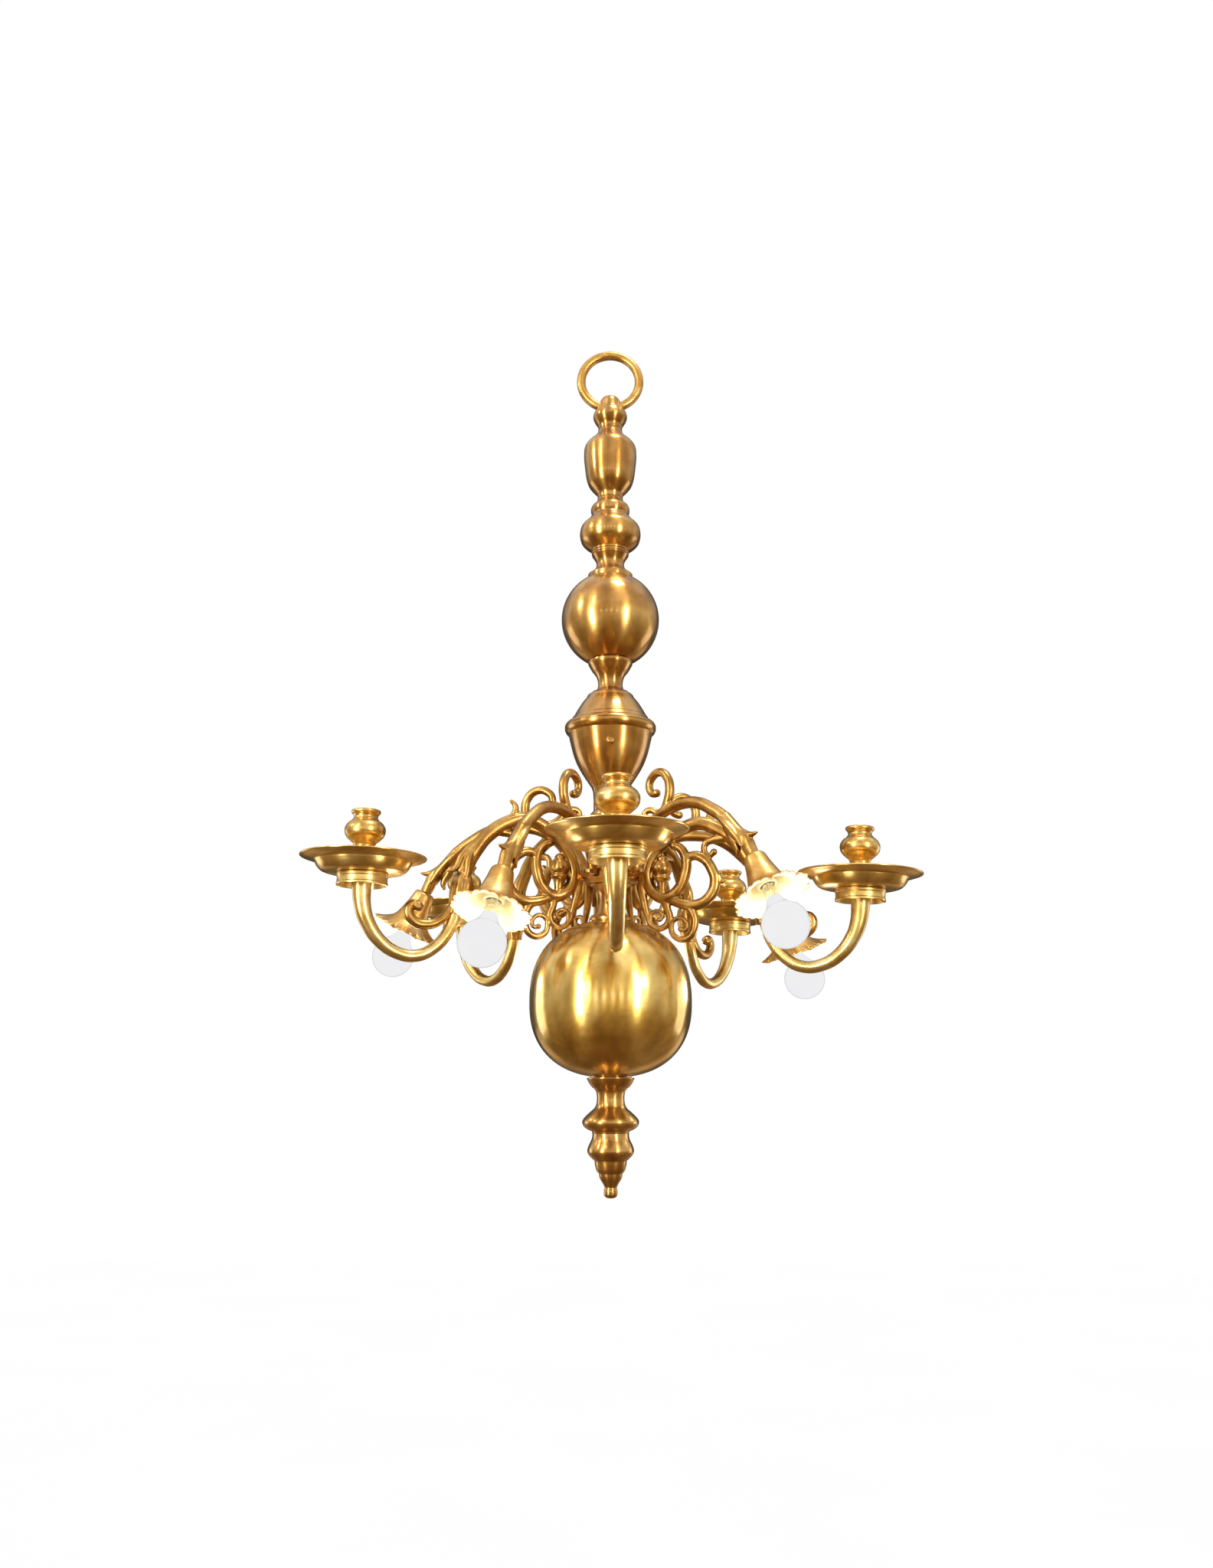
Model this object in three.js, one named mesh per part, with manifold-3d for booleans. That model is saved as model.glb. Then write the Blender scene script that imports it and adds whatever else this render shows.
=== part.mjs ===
// Turned brass chandelier with five candle arms and five hanging lamp arms.
// Millimetres, +Z up, -Y towards the viewer.
// The origin is the crown of the suspension ring's inside, where a ceiling hook bears.

import * as THREE from 'three';
import { mergeVertices } from 'three/addons/utils/BufferGeometryUtils.js';
import Module from 'manifold-3d';

const wasm = await Module();
wasm.setup();

// Driving dimensions: fits

const SEAT_GAP = 0.3;
const ROD_CLEARANCE = 0.4;
const EYE_CLEARANCE = 1.8;
const EYE_DROP = 1.2;
const SLOT_CLEARANCE = 0.5;

// Driving dimensions: suspension ring and the rod that carries everything

const RING_BAR_R = 5.2;
const RING_R = 34;
const ROD_R = 4;
const ROD_IN_KNOB = 18;
const ROD_IN_PENDANT = 30;

// Driving dimensions: heights of the turned pieces of the stem, from the top down

const EYE_CROWN = 9.6;
const KNOB_HEIGHT = 43.2;
const UPPER_VASE_HEIGHT = 86.8;
const MID_KNOP_HEIGHT = 98.4;
const UPPER_BALL_R = 54.7;
const VASE_COVER_HEIGHT = 76.2;
const VASE_BODY_HEIGHT = 94.4;
const SPOOL_HEIGHT = 69.3;
const CLAMP_PLATE_HEIGHT = 4.8;
const SLOT_PLATE_HEIGHT = 11.4;
const HUB_NECK_HEIGHT = 38.5;
const BIG_BALL_HEIGHT = 163;
const PENDANT_HEIGHT = 55.5;
const FINIAL_HEIGHT = 64.6;

// Driving dimensions: greatest radii of the turned pieces

const KNOB_R = 19.7;
const UPPER_VASE_R = 30.3;
const MID_KNOP_R = 34.6;
const BALL_COLLAR_R = 25.2;
const BALL_FOOT_R = 24.6;
const VASE_BEAD_R = 50.2;
const VASE_FOOT_R = 18.4;
const SPOOL_R = 22;
const HUB_R = 32;
const HUB_NECK_R = 12.2;
const BALL_FLANGE_R = 22;
const BIG_BALL_R = 85.4;
const BALL_FULLNESS = 2.35;
const PENDANT_COLLAR_R = 24.8;
const PENDANT_R = 29.3;
const FINIAL_R = 24;
const FINIAL_BUD_R = 6.8;
const SHELL_WALL = 1.6;
const VASE_SCREW_R = 4.6;
const VASE_SCREW_DROP = 25;

// Driving dimensions: candle arm ends

const ARM_REACH = 265;
const PAN_R = 63.2;
const PAN_BOWL_R = 48;
const PAN_FLOOR_R = 37;
const PAN_DEPTH = 16.5;
const PAN_BRIM_DROP = 5;
const PAN_WALL = 1.2;
const COLLAR_R = 25.7;
const COLLAR_HEIGHT = 12.4;
const COLLAR_WALL = 1.6;
const CUP_HEIGHT = 63;
const CUP_LIP_R = 14.8;
const CUP_NECK_R = 12.1;
const CUP_BELLY_R = 20.6;
const CUP_WAIST_R = 9.9;
const CUP_FOOT_R = 13.5;
const CANDLE_BORE_R = 10.3;
const CANDLE_BORE_DEPTH = 24;
const TENON_R = 3.6;
const TENON_LENGTH = 14;

// Driving dimensions: lamp arm ends, all measured along the bell's axis

const BELL_REACH = 210;
const BELL_DROP = 18;
const BELL_TILT = THREE.MathUtils.degToRad(25.6);
const BELL_LENGTH = 46;
const BELL_TOP_R = 11.6;
const BELL_WAIST_R = 18.4;
const BELL_RIM_R = 36;
const BELL_PETALS = 6;
const BELL_PETAL_DEPTH = 2.2;
const BELL_WALL = 1.1;
const NIPPLE_R = 4.6;
const NIPPLE_LENGTH = 7;
const HOLDER_R = 10;
const HOLDER_LENGTH = 34;
const CAP_R = 6.9;
const CAP_LENGTH = 23;
const CAP_START = 26;
const BULB_R = 22.6;
const BULB_CENTRE = 78.7;
const BULB_NECK_R = 7.4;
const BULB_WALL = 1.8;

// Driving dimensions: arm roots, held in the slots of one plate under the foot of the spool

const TONGUE_WIDTH = 6;
const TONGUE_HEIGHT = 5;
const TONGUE_IN = 9;

// Each arm sits a little out of true in its slot, in degrees: turn about the stem and tip upwards.
// The first arm of each set is the one nearest the viewer.

const ARMS_PER_SET = 5;
const SET_TURN = 3.8;
const CANDLE_ARM_TRIM = [
  { turn: -2.7, tip: -0.1 },
  { turn: -0.3, tip: -2.1 },
  { turn: -2.0, tip: -2.3 },
  { turn: 2.6, tip: -1.7 },
  { turn: -1.3, tip: 1.0 },
];
const LAMP_ARM_TRIM = [
  { turn: -0.2, tip: 3.7 },
  { turn: -0.1, tip: -4.3 },
  { turn: 0, tip: 0 },
  { turn: 0.2, tip: 2.1 },
  { turn: 3.3, tip: -1.5 },
];

// Facets round each kind of piece

const FACETS = { bigBall: 20, ball: 16, stem: 14, small: 10, ring: 18, pan: 16, cup: 10, bulb: 9, holder: 7 };

// Heights worked out from the stack, top down

const EYE_Z = RING_BAR_R - 2 * RING_R;
const KNOB_TOP = EYE_Z + RING_BAR_R + EYE_CROWN;
const KNOB_FOOT = KNOB_TOP - KNOB_HEIGHT;
const UPPER_VASE_FOOT = KNOB_FOOT - UPPER_VASE_HEIGHT;
const MID_KNOP_FOOT = UPPER_VASE_FOOT - MID_KNOP_HEIGHT;
const ballRise = (seatR) => Math.sqrt(UPPER_BALL_R ** 2 - seatR ** 2);
const UPPER_BALL_Z = MID_KNOP_FOOT - ballRise(BALL_COLLAR_R);
const BALL_SEAT = UPPER_BALL_Z - ballRise(BALL_FOOT_R);
const VASE_COVER_FOOT = BALL_SEAT - VASE_COVER_HEIGHT;
const VASE_BODY_FOOT = VASE_COVER_FOOT - VASE_BODY_HEIGHT;
const SPOOL_FOOT = VASE_BODY_FOOT - SPOOL_HEIGHT;
const SLOT_PLATE_FOOT = SPOOL_FOOT - SLOT_PLATE_HEIGHT;
const HUB_NECK_FOOT = SLOT_PLATE_FOOT - HUB_NECK_HEIGHT;
const BIG_BALL_FOOT = HUB_NECK_FOOT - BIG_BALL_HEIGHT;
const PENDANT_FOOT = BIG_BALL_FOOT - PENDANT_HEIGHT;
const ROD_TOP = KNOB_FOOT + ROD_IN_KNOB;
const ROD_FOOT = BIG_BALL_FOOT - ROD_IN_PENDANT;
const ROD_BORE_R = holeFor(ROD_R, FACETS.small);

// The arms are drawn in their own plane: x runs outwards from the stem, z is measured from the pan's rim.
// The tongues lie in the slots of the plate, just under the foot of the spool.

const PAN_PLANE = SPOOL_FOOT - 0.7;
const TONGUE_TOP = SPOOL_FOOT - SEAT_GAP - PAN_PLANE;
const TONGUE_TIP = HUB_R - TONGUE_IN;
const TIP_PIVOT = { x: 40, z: 26.5 };

// Materials

const polishedBrass = () => new THREE.MeshStandardMaterial({ color: 0xd0a040, roughness: 0.22, metalness: 1 });
const castBrass = () => new THREE.MeshStandardMaterial({ color: 0xc08a35, roughness: 0.38, metalness: 1 });
const steel = () => new THREE.MeshStandardMaterial({ color: 0x8d8d90, roughness: 0.4, metalness: 1 });
const porcelain = () => new THREE.MeshStandardMaterial({ color: 0xe8e4da, roughness: 0.3, metalness: 0 });
const frostedGlass = () => new THREE.MeshStandardMaterial({ color: 0xf4f4f2, roughness: 0.5, metalness: 0 });

// Geometry helpers

// Merges the corners of a closed surface, drops flat triangles and turns its faces outwards.
function closed(geometry) {
  geometry.deleteAttribute('normal');
  geometry.deleteAttribute('uv');
  const merged = mergeVertices(geometry, 1e-4);
  const position = merged.attributes.position;
  const index = merged.index.array;
  const kept = [];
  let volume = 0;
  const a = new THREE.Vector3();
  const b = new THREE.Vector3();
  const c = new THREE.Vector3();
  for (let i = 0; i < index.length; i += 3) {
    const [p, q, r] = [index[i], index[i + 1], index[i + 2]];
    if (p === q || q === r || r === p) continue;
    kept.push(p, q, r);
    a.fromBufferAttribute(position, p);
    b.fromBufferAttribute(position, q);
    c.fromBufferAttribute(position, r);
    volume += a.dot(b.cross(c));
  }
  if (volume < 0) kept.reverse();
  const result = new THREE.BufferGeometry();
  result.setAttribute('position', position);
  result.setIndex(kept);
  return result;
}

function toManifold(geometry) {
  const source = closed(geometry);
  return new wasm.Manifold(new wasm.Mesh({
    numProp: 3,
    vertProperties: new Float32Array(source.attributes.position.array),
    triVerts: new Uint32Array(source.index.array),
  }));
}

function fromManifold(solid) {
  const mesh = solid.getMesh();
  const geometry = new THREE.BufferGeometry();
  geometry.setAttribute('position', new THREE.BufferAttribute(new Float32Array(mesh.vertProperties), 3));
  geometry.setIndex(new THREE.BufferAttribute(new Uint32Array(mesh.triVerts), 1));
  return geometry;
}

function joined(pieces) {
  return fromManifold(pieces.map(toManifold).reduce((sum, piece) => sum.add(piece)));
}

// Revolves [radius, height] points round Z.
function turned(profile, facets) {
  const points = profile.map(([r, z]) => new THREE.Vector2(r, z));
  return closed(new THREE.LatheGeometry(points, facets).rotateX(Math.PI / 2));
}

// Revolves a solid outline with a rod hole through it. The outline runs from its top down.
function turnedWithBore(outline, facets) {
  const top = outline[0][1];
  const foot = outline.at(-1)[1];
  return turned([[ROD_BORE_R, top], ...outline, [ROD_BORE_R, foot], [ROD_BORE_R, top]], facets);
}

// The corner radius of a faceted hole whose flats still clear a pin of the given radius.
function holeFor(pinR, facets) {
  return (pinR + ROD_CLEARANCE) / Math.cos(Math.PI / facets);
}

// Points on a quarter-turn or less of an ellipse, from one angle to another in degrees.
function arc(centreR, centreZ, radiusR, radiusZ, from, to, steps) {
  return Array.from({ length: steps + 1 }, (unused, i) => {
    const angle = THREE.MathUtils.degToRad(from + (to - from) * i / steps);
    return [centreR + radiusR * Math.cos(angle), centreZ + radiusZ * Math.sin(angle)];
  });
}

// The same on a fuller, squarer curve than an ellipse.
function fullArc(centreZ, radiusR, radiusZ, from, to, steps) {
  const full = (value) => Math.sign(value) * Math.abs(value) ** (2 / BALL_FULLNESS);
  return arc(0, 0, 1, 1, from, to, steps).map(([r, z]) => [radiusR * full(r), centreZ + radiusZ * full(z)]);
}

// A bar that follows a smooth line of [x, z] points. Its half depth lies in the plane of the line and
// its half width across it; both run evenly from the first value to the last.
function bar(line, depths, widths, steps, sides) {
  const curve = new THREE.CatmullRomCurve3(line.map(([x, z]) => new THREE.Vector3(x, 0, z)), false, 'centripetal');
  const size = (list, u) => {
    const at = u * (list.length - 1);
    const low = Math.min(Math.floor(at), list.length - 2);
    return THREE.MathUtils.lerp(list[low], list[low + 1], at - low);
  };
  const positions = [];
  const index = [];
  for (let i = 0; i <= steps; i++) {
    const u = i / steps;
    const centre = curve.getPointAt(u);
    const tangent = curve.getTangentAt(u);
    for (let k = 0; k < sides; k++) {
      const angle = 2 * Math.PI * (k + 0.5) / sides;
      const inPlane = size(depths, u) * Math.cos(angle);
      const across = size(widths, u) * Math.sin(angle);
      positions.push(centre.x - tangent.z * inPlane, across, centre.z + tangent.x * inPlane);
    }
  }
  for (let i = 0; i < steps; i++) {
    for (let k = 0; k < sides; k++) {
      const a = i * sides + k;
      const b = i * sides + (k + 1) % sides;
      index.push(a, b, a + sides, b, b + sides, a + sides);
    }
  }
  const last = steps * sides;
  for (let k = 1; k < sides - 1; k++) {
    index.push(0, k + 1, k);
    index.push(last, last + k, last + k + 1);
  }
  const geometry = new THREE.BufferGeometry();
  geometry.setAttribute('position', new THREE.Float32BufferAttribute(positions, 3));
  geometry.setIndex(index);
  return closed(geometry);
}

// A pattern line drawn full size for one reach, enlarged or reduced by k for another. So are the sizes along it.
function drawn(line, k) {
  return line.map(([x, z]) => [x * k, z * k]);
}

function sized(list, k) {
  return list.map((size) => size * k);
}

// Scene graph helpers

const chandelier = new THREE.Group();

function add(parent, name, geometry, material) {
  const mesh = new THREE.Mesh(geometry, material);
  mesh.name = name;
  parent.add(mesh);
  return mesh;
}

// Suspension ring: a round bar bent to a circle, hung in the plane of the viewer

function suspensionRing() {
  const section = arc(RING_R, 0, RING_BAR_R, RING_BAR_R, 0, 360, 6);
  return turned(section, FACETS.ring).rotateX(Math.PI / 2).translate(0, 0, RING_BAR_R - RING_R);
}

// Top knob: a domed eye that the ring passes through, on a bead and a neck

function topKnob() {
  const t = KNOB_TOP;
  const neckR = 0.7 * KNOB_R;
  const dome = arc(0, t - 14, 12.5, 14, 90, 0, 3);
  const bead = arc(KNOB_R - 5, t - 27.5, 5, 6, 60, -60, 2);
  const outline = [...dome, [14, t - 18], ...bead, [neckR, t - 38], [neckR, KNOB_FOOT]];
  const rodHole = [[ROD_BORE_R, KNOB_FOOT], [ROD_BORE_R, ROD_TOP + SEAT_GAP], [0, ROD_TOP + SEAT_GAP]];
  const body = turned([...outline, ...rodHole], FACETS.small);
  const eyeR = RING_BAR_R + EYE_CLEARANCE;
  const eye = turned(arc(RING_R, 0, eyeR, eyeR, 0, 360, 6), FACETS.ring);
  eye.rotateX(Math.PI / 2).translate(0, 0, RING_BAR_R - RING_R - EYE_DROP);
  return fromManifold(toManifold(body).subtract(toManifold(eye)));
}

// Upper vase: a hollow shouldered urn

function upperVase() {
  const top = KNOB_FOOT - SEAT_GAP;
  const foot = UPPER_VASE_FOOT;
  const neckR = 0.7 * KNOB_R;
  const r = UPPER_VASE_R;
  const outline = [
    [neckR, top], [neckR + 1.5, top - 8], [r - 6, top - 15.5], [r, top - 25], [r, top - 38],
    [r - 5, top - 69], [r - 10, top - 77], [neckR + 1, top - 81], [neckR + 1, foot],
  ];
  const inside = [
    [ROD_BORE_R, foot], [ROD_BORE_R, top - 76], [r - 9, top - 68], [r - 4, top - 26], [ROD_BORE_R, top - 12],
    [ROD_BORE_R, top], [neckR, top],
  ];
  return turned([...outline, ...inside], FACETS.stem);
}

// Mid knop: two beads on a neck, ending in the collar that sits on the upper ball

function midKnop() {
  const top = UPPER_VASE_FOOT - SEAT_GAP;
  const foot = MID_KNOP_FOOT;
  const r = MID_KNOP_R;
  const smallR = 0.635 * r;
  const neckR = 0.42 * r;
  const outline = [
    [neckR + 1, top], [smallR - 1, top - 9], [smallR, top - 16], [smallR - 0.5, top - 21],
    ...arc(r - 10, top - 44, 10, 14, 70, -70, 3), [smallR, top - 61], [neckR + 2, top - 72],
    [neckR + 1, top - 84], [BALL_COLLAR_R - 2, top - 92], [BALL_COLLAR_R, top - 95], [BALL_COLLAR_R, foot + SEAT_GAP],
  ];
  return turnedWithBore(outline, FACETS.stem);
}

// Upper ball: a spun shell, cut flat above and below where the collars bear on it

function upperBall() {
  const r = UPPER_BALL_R;
  const insideR = r - 2 * SHELL_WALL;
  const edge = (seatR, shellR) => THREE.MathUtils.radToDeg(Math.asin(ballRise(seatR) / shellR));
  const outer = arc(0, UPPER_BALL_Z, r, r, edge(BALL_COLLAR_R, r), -edge(BALL_FOOT_R, r), 9);
  const inner = arc(0, UPPER_BALL_Z, insideR, insideR, -edge(BALL_FOOT_R, insideR), edge(BALL_COLLAR_R, insideR), 5);
  return turned([...outer, ...inner, outer[0]], FACETS.ball);
}

// Vase cover: the collar under the ball, a neck and a domed lid that ends in a rolled bead

function vaseCover() {
  const top = BALL_SEAT - SEAT_GAP;
  const foot = VASE_COVER_FOOT;
  const r = VASE_BEAD_R;
  const neckR = 0.27 * r;
  const outline = [
    [BALL_FOOT_R, top], [BALL_FOOT_R - 3, top - 8], [neckR + 1.4, top - 18], [neckR, top - 26],
    [neckR + 1.2, top - 33], [r - 24.5, top - 42], [r - 11, top - 61], [r - 6, top - 69], [r, foot + 3], [r, foot],
  ];
  const inside = [[r - 5, foot], [r - 8, top - 68], [r - 23, top - 48], [ROD_BORE_R, top - 41], [ROD_BORE_R, top]];
  return turned([...outline, ...inside, outline[0]], FACETS.stem);
}

// Vase body: a spun cup below the bead, tapering to the foot that stands on the spool

function vaseBody() {
  const top = VASE_COVER_FOOT - SEAT_GAP;
  const foot = VASE_BODY_FOOT;
  const r = VASE_BEAD_R;
  const wall = SHELL_WALL;
  const outline = [
    [r, top], [r, top - 1.5], [r - 4.5, top - 6], [r - 8.4, top - 24], [r - 13.5, top - 38],
    [r - 20, top - 52], [VASE_FOOT_R + 1, top - 68], [VASE_FOOT_R, foot],
  ];
  const inside = [
    [ROD_BORE_R, foot], [ROD_BORE_R, top - 70], [r - 22 - wall, top - 50], [r - 9 - 2 * wall, top - 24],
    [r - 5 - 2 * wall, top], [r, top],
  ];
  const shell = turned([...outline, ...inside], FACETS.stem);
  const hole = new THREE.CylinderGeometry(0.6 * VASE_SCREW_R, 0.6 * VASE_SCREW_R, r, 6);
  hole.translate(0, -r / 2 - SHELL_WALL, top - VASE_SCREW_DROP);
  return fromManifold(toManifold(shell).subtract(toManifold(hole)));
}

// Vase screw: the round-headed pin in the front of the vase

function vaseScrew() {
  const stemR = 0.6 * VASE_SCREW_R - SEAT_GAP;
  const face = VASE_BEAD_R - 7;
  const profile = [[0, 2.6], [VASE_SCREW_R - 1.2, 2.2], [VASE_SCREW_R, 0.4], [stemR, 0.4], [stemR, -8], [0, -8]];
  const screw = turned(profile, 6).rotateX(Math.PI / 2);
  return screw.translate(0, -face, VASE_COVER_FOOT - SEAT_GAP - VASE_SCREW_DROP);
}

// Spool: the turned spacer under the vase, ending in the plate that clamps the arms

function spool() {
  const top = VASE_BODY_FOOT - SEAT_GAP;
  const foot = SPOOL_FOOT;
  const r = SPOOL_R;
  const outline = [
    [VASE_FOOT_R, top], [r, top - 4], [r, top - 10], [0.62 * r, top - 18], [0.62 * r, foot + 23],
    [r, foot + 11], [r, foot + CLAMP_PLATE_HEIGHT], [HUB_R, foot + CLAMP_PLATE_HEIGHT - 1], [HUB_R, foot],
  ];
  return turnedWithBore(outline, FACETS.stem);
}

// Slot plate: a slot for every arm's tongue, closed from above by the spool

function slotPlate() {
  const top = SPOOL_FOOT - SEAT_GAP;
  const foot = SLOT_PLATE_FOOT;
  const outline = [[HUB_R, top], [HUB_R, foot + 4], [HUB_R - 6, foot]];
  const slotDepth = TONGUE_HEIGHT + SLOT_CLEARANCE;
  let plate = toManifold(turnedWithBore(outline, FACETS.stem));
  for (const { azimuth } of everyArm) {
    const slot = new THREE.BoxGeometry(TONGUE_IN + 10, TONGUE_WIDTH + 2 * SLOT_CLEARANCE, slotDepth + 1);
    slot.translate(TONGUE_TIP - SLOT_CLEARANCE + (TONGUE_IN + 10) / 2, 0, top - slotDepth / 2 + 0.5);
    slot.rotateZ(azimuth);
    plate = plate.subtract(toManifold(slot));
  }
  return fromManifold(plate);
}

// Hub neck: the waist between the arm plates and the big ball, flaring into the ball's flange

function hubNeck() {
  const top = SLOT_PLATE_FOOT - SEAT_GAP;
  const foot = HUB_NECK_FOOT;
  const r = HUB_NECK_R;
  const outline = [
    [HUB_R - 10, top], [r + 2, top - 7], [r, top - 18], [r + 3, top - 29], [BALL_FLANGE_R - 1, foot + 3],
    [BALL_FLANGE_R, foot],
  ];
  return turnedWithBore(outline, FACETS.stem);
}

// Big ball: a spun shell, fuller than a sphere and a little flatter below than above

function bigBall() {
  const wall = SHELL_WALL;
  const r = BIG_BALL_R;
  const top = HUB_NECK_FOOT - SEAT_GAP;
  const upper = 0.52 * BIG_BALL_HEIGHT;
  const lower = BIG_BALL_HEIGHT - upper;
  const z = top - upper;
  const outer = [...fullArc(z, r, upper, 80, 0, 5), ...fullArc(z, r, lower, -17, -80, 4)];
  const insideR = r - 2 * wall;
  const inner = [...fullArc(z, insideR, lower - 2 * wall, -80, -20, 2), ...fullArc(z, insideR, upper - 2 * wall, 12, 80, 2)];
  const seatR = BALL_FLANGE_R - 8;
  const rims = [[seatR, z - lower], [seatR, z - lower + 2 * wall]];
  return turned([[seatR, top], ...outer, ...rims, ...inner, [seatR, top - 2 * wall], [seatR, top]], FACETS.bigBall);
}

// Pendant: collar under the ball, waist and bulge

function pendant() {
  const top = BIG_BALL_FOOT - SEAT_GAP;
  const foot = PENDANT_FOOT;
  const r = PENDANT_R;
  const c = PENDANT_COLLAR_R;
  const waistR = 0.49 * r;
  const outline = [
    [c, top], [c - 2, top - 6], [c - 6, top - 10.5], [waistR + 1.5, top - 13.5], [waistR, top - 20],
    [waistR + 1, top - 29], [r - 8.5, top - 36], [r, top - 45], [r, top - 48.5], [r - 7, top - 54.6],
    [r - 10, foot],
  ];
  const rodHole = [[ROD_BORE_R, ROD_FOOT - SEAT_GAP], [ROD_BORE_R, top]];
  return turned([...outline, [0, foot], [0, ROD_FOOT - SEAT_GAP], ...rodHole, [c, top]], FACETS.stem);
}

// Finial: the lower urn of the pendant, ending in a small bud

function finial() {
  const top = PENDANT_FOOT - SEAT_GAP;
  const foot = PENDANT_FOOT - FINIAL_HEIGHT;
  const r = FINIAL_R;
  const bud = FINIAL_BUD_R;
  const outline = [
    [0, top], [r - 5, top], [r - 4.2, top - 7], [r - 0.6, top - 15], [r, top - 20], [r - 7, top - 29],
    [r - 8.6, top - 38.6], [r - 11.6, top - 43], [bud, foot + 11], [bud, foot + 3], [0, foot],
  ];
  return turned(outline, FACETS.small);
}

// Tie rod: the hidden rod that the stem is strung on

function tieRod() {
  return turned([[0, ROD_TOP], [ROD_R, ROD_TOP], [ROD_R, ROD_FOOT], [0, ROD_FOOT]], FACETS.holder);
}

// Tongue: the square root of every arm. It stays true in its slot however far the arm above it is tipped.

function tipMatrix(tip) {
  const out = new THREE.Matrix4().makeTranslation(TIP_PIVOT.x, 0, TIP_PIVOT.z);
  const turn = new THREE.Matrix4().makeRotationY(-tip);
  const back = new THREE.Matrix4().makeTranslation(-TIP_PIVOT.x, 0, -TIP_PIVOT.z);
  return out.multiply(turn).multiply(back);
}

function tongue(tip, rootX) {
  const block = new THREE.BoxGeometry(rootX - TONGUE_TIP, TONGUE_WIDTH, TONGUE_HEIGHT);
  block.translate((TONGUE_TIP + rootX) / 2, 0, TONGUE_TOP - TONGUE_HEIGHT / 2);
  return block.applyMatrix4(tipMatrix(tip).invert());
}

// Candle arm: one casting of scrolls in a plane, from the slotted plate to the tenon under the cup

const COLLAR_TOP = -PAN_DEPTH - SEAT_GAP;
const COLLAR_ROOF = COLLAR_TOP - COLLAR_WALL - SEAT_GAP;
const PAN_FLOOR = -PAN_DEPTH + PAN_WALL;

function candleArm(tip) {
  const k = ARM_REACH / 265;
  const strand = (line, depths, widths, steps, sides) => {
    return bar(drawn(line, k), sized(depths, k), sized(widths, k), steps, sides);
  };
  const outerLeg = strand(
    [[265, (COLLAR_ROOF - SEAT_GAP) / k], [265, -36], [258, -64], [244, -83], [226, -94], [207, -96],
      [190, -88], [175, -70], [167, -48], [164, -28], [160, -4]],
    [10, 8.4, 7, 6.8, 6.4, 6.2], [10, 7.6, 6, 5.6, 5.4, 5.2], 9, 6);
  const innerScroll = strand(
    [[163, -22], [159, -4], [147, 20], [136, 34], [112, 50], [97, 54], [84, 51], [70, 43], [53, 27],
      [43, 9], [42, -8], [50, -21], [62, -26], [74, -19], [82, -2], [83, 15], [77, 27], [68, 31]],
    [6.2, 6, 5.8, 5, 4.8, 4.6, 4, 3], [5.2, 5, 5, 4.8, 4.6, 4.4, 4, 3], 18, 4);
  const outerLoop = strand(
    [[82, 12], [90, 19], [102, 16], [111, 5], [115, -9], [109, -25], [96, -33], [80, -32], [66, -27]],
    [3.4, 3.8, 4.2, 4.2, 4], [3.6, 4, 4, 4, 4], 7, 4);
  const underHook = strand(
    [[124, 38], [112, 36], [104, 32], [103, 24], [108, 19], [113, 23]],
    [3.6, 3, 2.8, 2.4, 2.8], [3.4, 3, 2.8, 2.6, 2.6], 4, 4);
  const legHook = strand(
    [[165, -36], [174, -47], [184, -59], [197, -64], [211, -61], [217, -51], [209, -43]],
    [3.4, 3.6, 4, 4.4, 4.6, 3.4], [3.4, 3.4, 3.6, 4, 4, 3.2], 5, 4);
  const lowerCurl = strand(
    [[84, -32], [92, -42], [93, -56], [86, -69], [75, -69], [68, -60], [73, -52]],
    [3.2, 3, 2.8, 2.6, 2.4], [3.2, 3, 2.8, 2.6, 2.4], 5, 4);
  const innerCurl = strand(
    [[62, -26], [64, -37], [66, -47], [61, -56], [52, -57], [46, -50], [50, -42]],
    [3.2, 3, 2.8, 2.6, 2.4], [3.2, 3, 2.8, 2.6, 2.4], 5, 4);
  const upperCurl = strand(
    [[76, 47], [62, 54], [52, 64], [44, 69], [37, 66], [37, 60]],
    [3.2, 3, 2.8, 2.6, 2.4], [3.2, 3, 2.8, 2.6, 2.4], 4, 4);
  const spur = strand([[116, 46], [109, 58], [108, 66], [114, 73]], [3.4, 3, 2.6, 1.6], [3.2, 2.8, 2.4, 1.6], 2, 3);
  const tail = strand([[42, 4], [36, -10], [39, -30], [46, -55]], [4.2, 3.6, 3.4, 2], [3.8, 3.4, 3, 2], 2, 4);
  const budShape = drawn([[0, 21], [6, 18], [10, 9], [10, -2], [3.4, -23], [0, -23]], k);
  const bud = turned(budShape, 5).translate(58 * k, 0, 0);
  const huskShape = drawn([[0, 30], [3, 22], [12, 2], [6.6, -24], [0, -24]], k);
  const husk = turned(huskShape, 5).rotateY(-0.16).translate(163 * k, 0, -26 * k);
  const tenonTop = COLLAR_ROOF + TENON_LENGTH;
  const tenon = turned([[0, tenonTop], [TENON_R, tenonTop], [TENON_R, COLLAR_ROOF - 4], [0, COLLAR_ROOF - 4]], 6);
  tenon.translate(ARM_REACH, 0, 0);
  return joined([outerLeg, innerScroll, outerLoop, underHook, legHook, lowerCurl, innerCurl, upperCurl, spur, tail,
    tongue(tip, 43 * k), bud, husk, tenon]);
}

// Collar: the open-bottomed skirt under the drip pan

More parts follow.
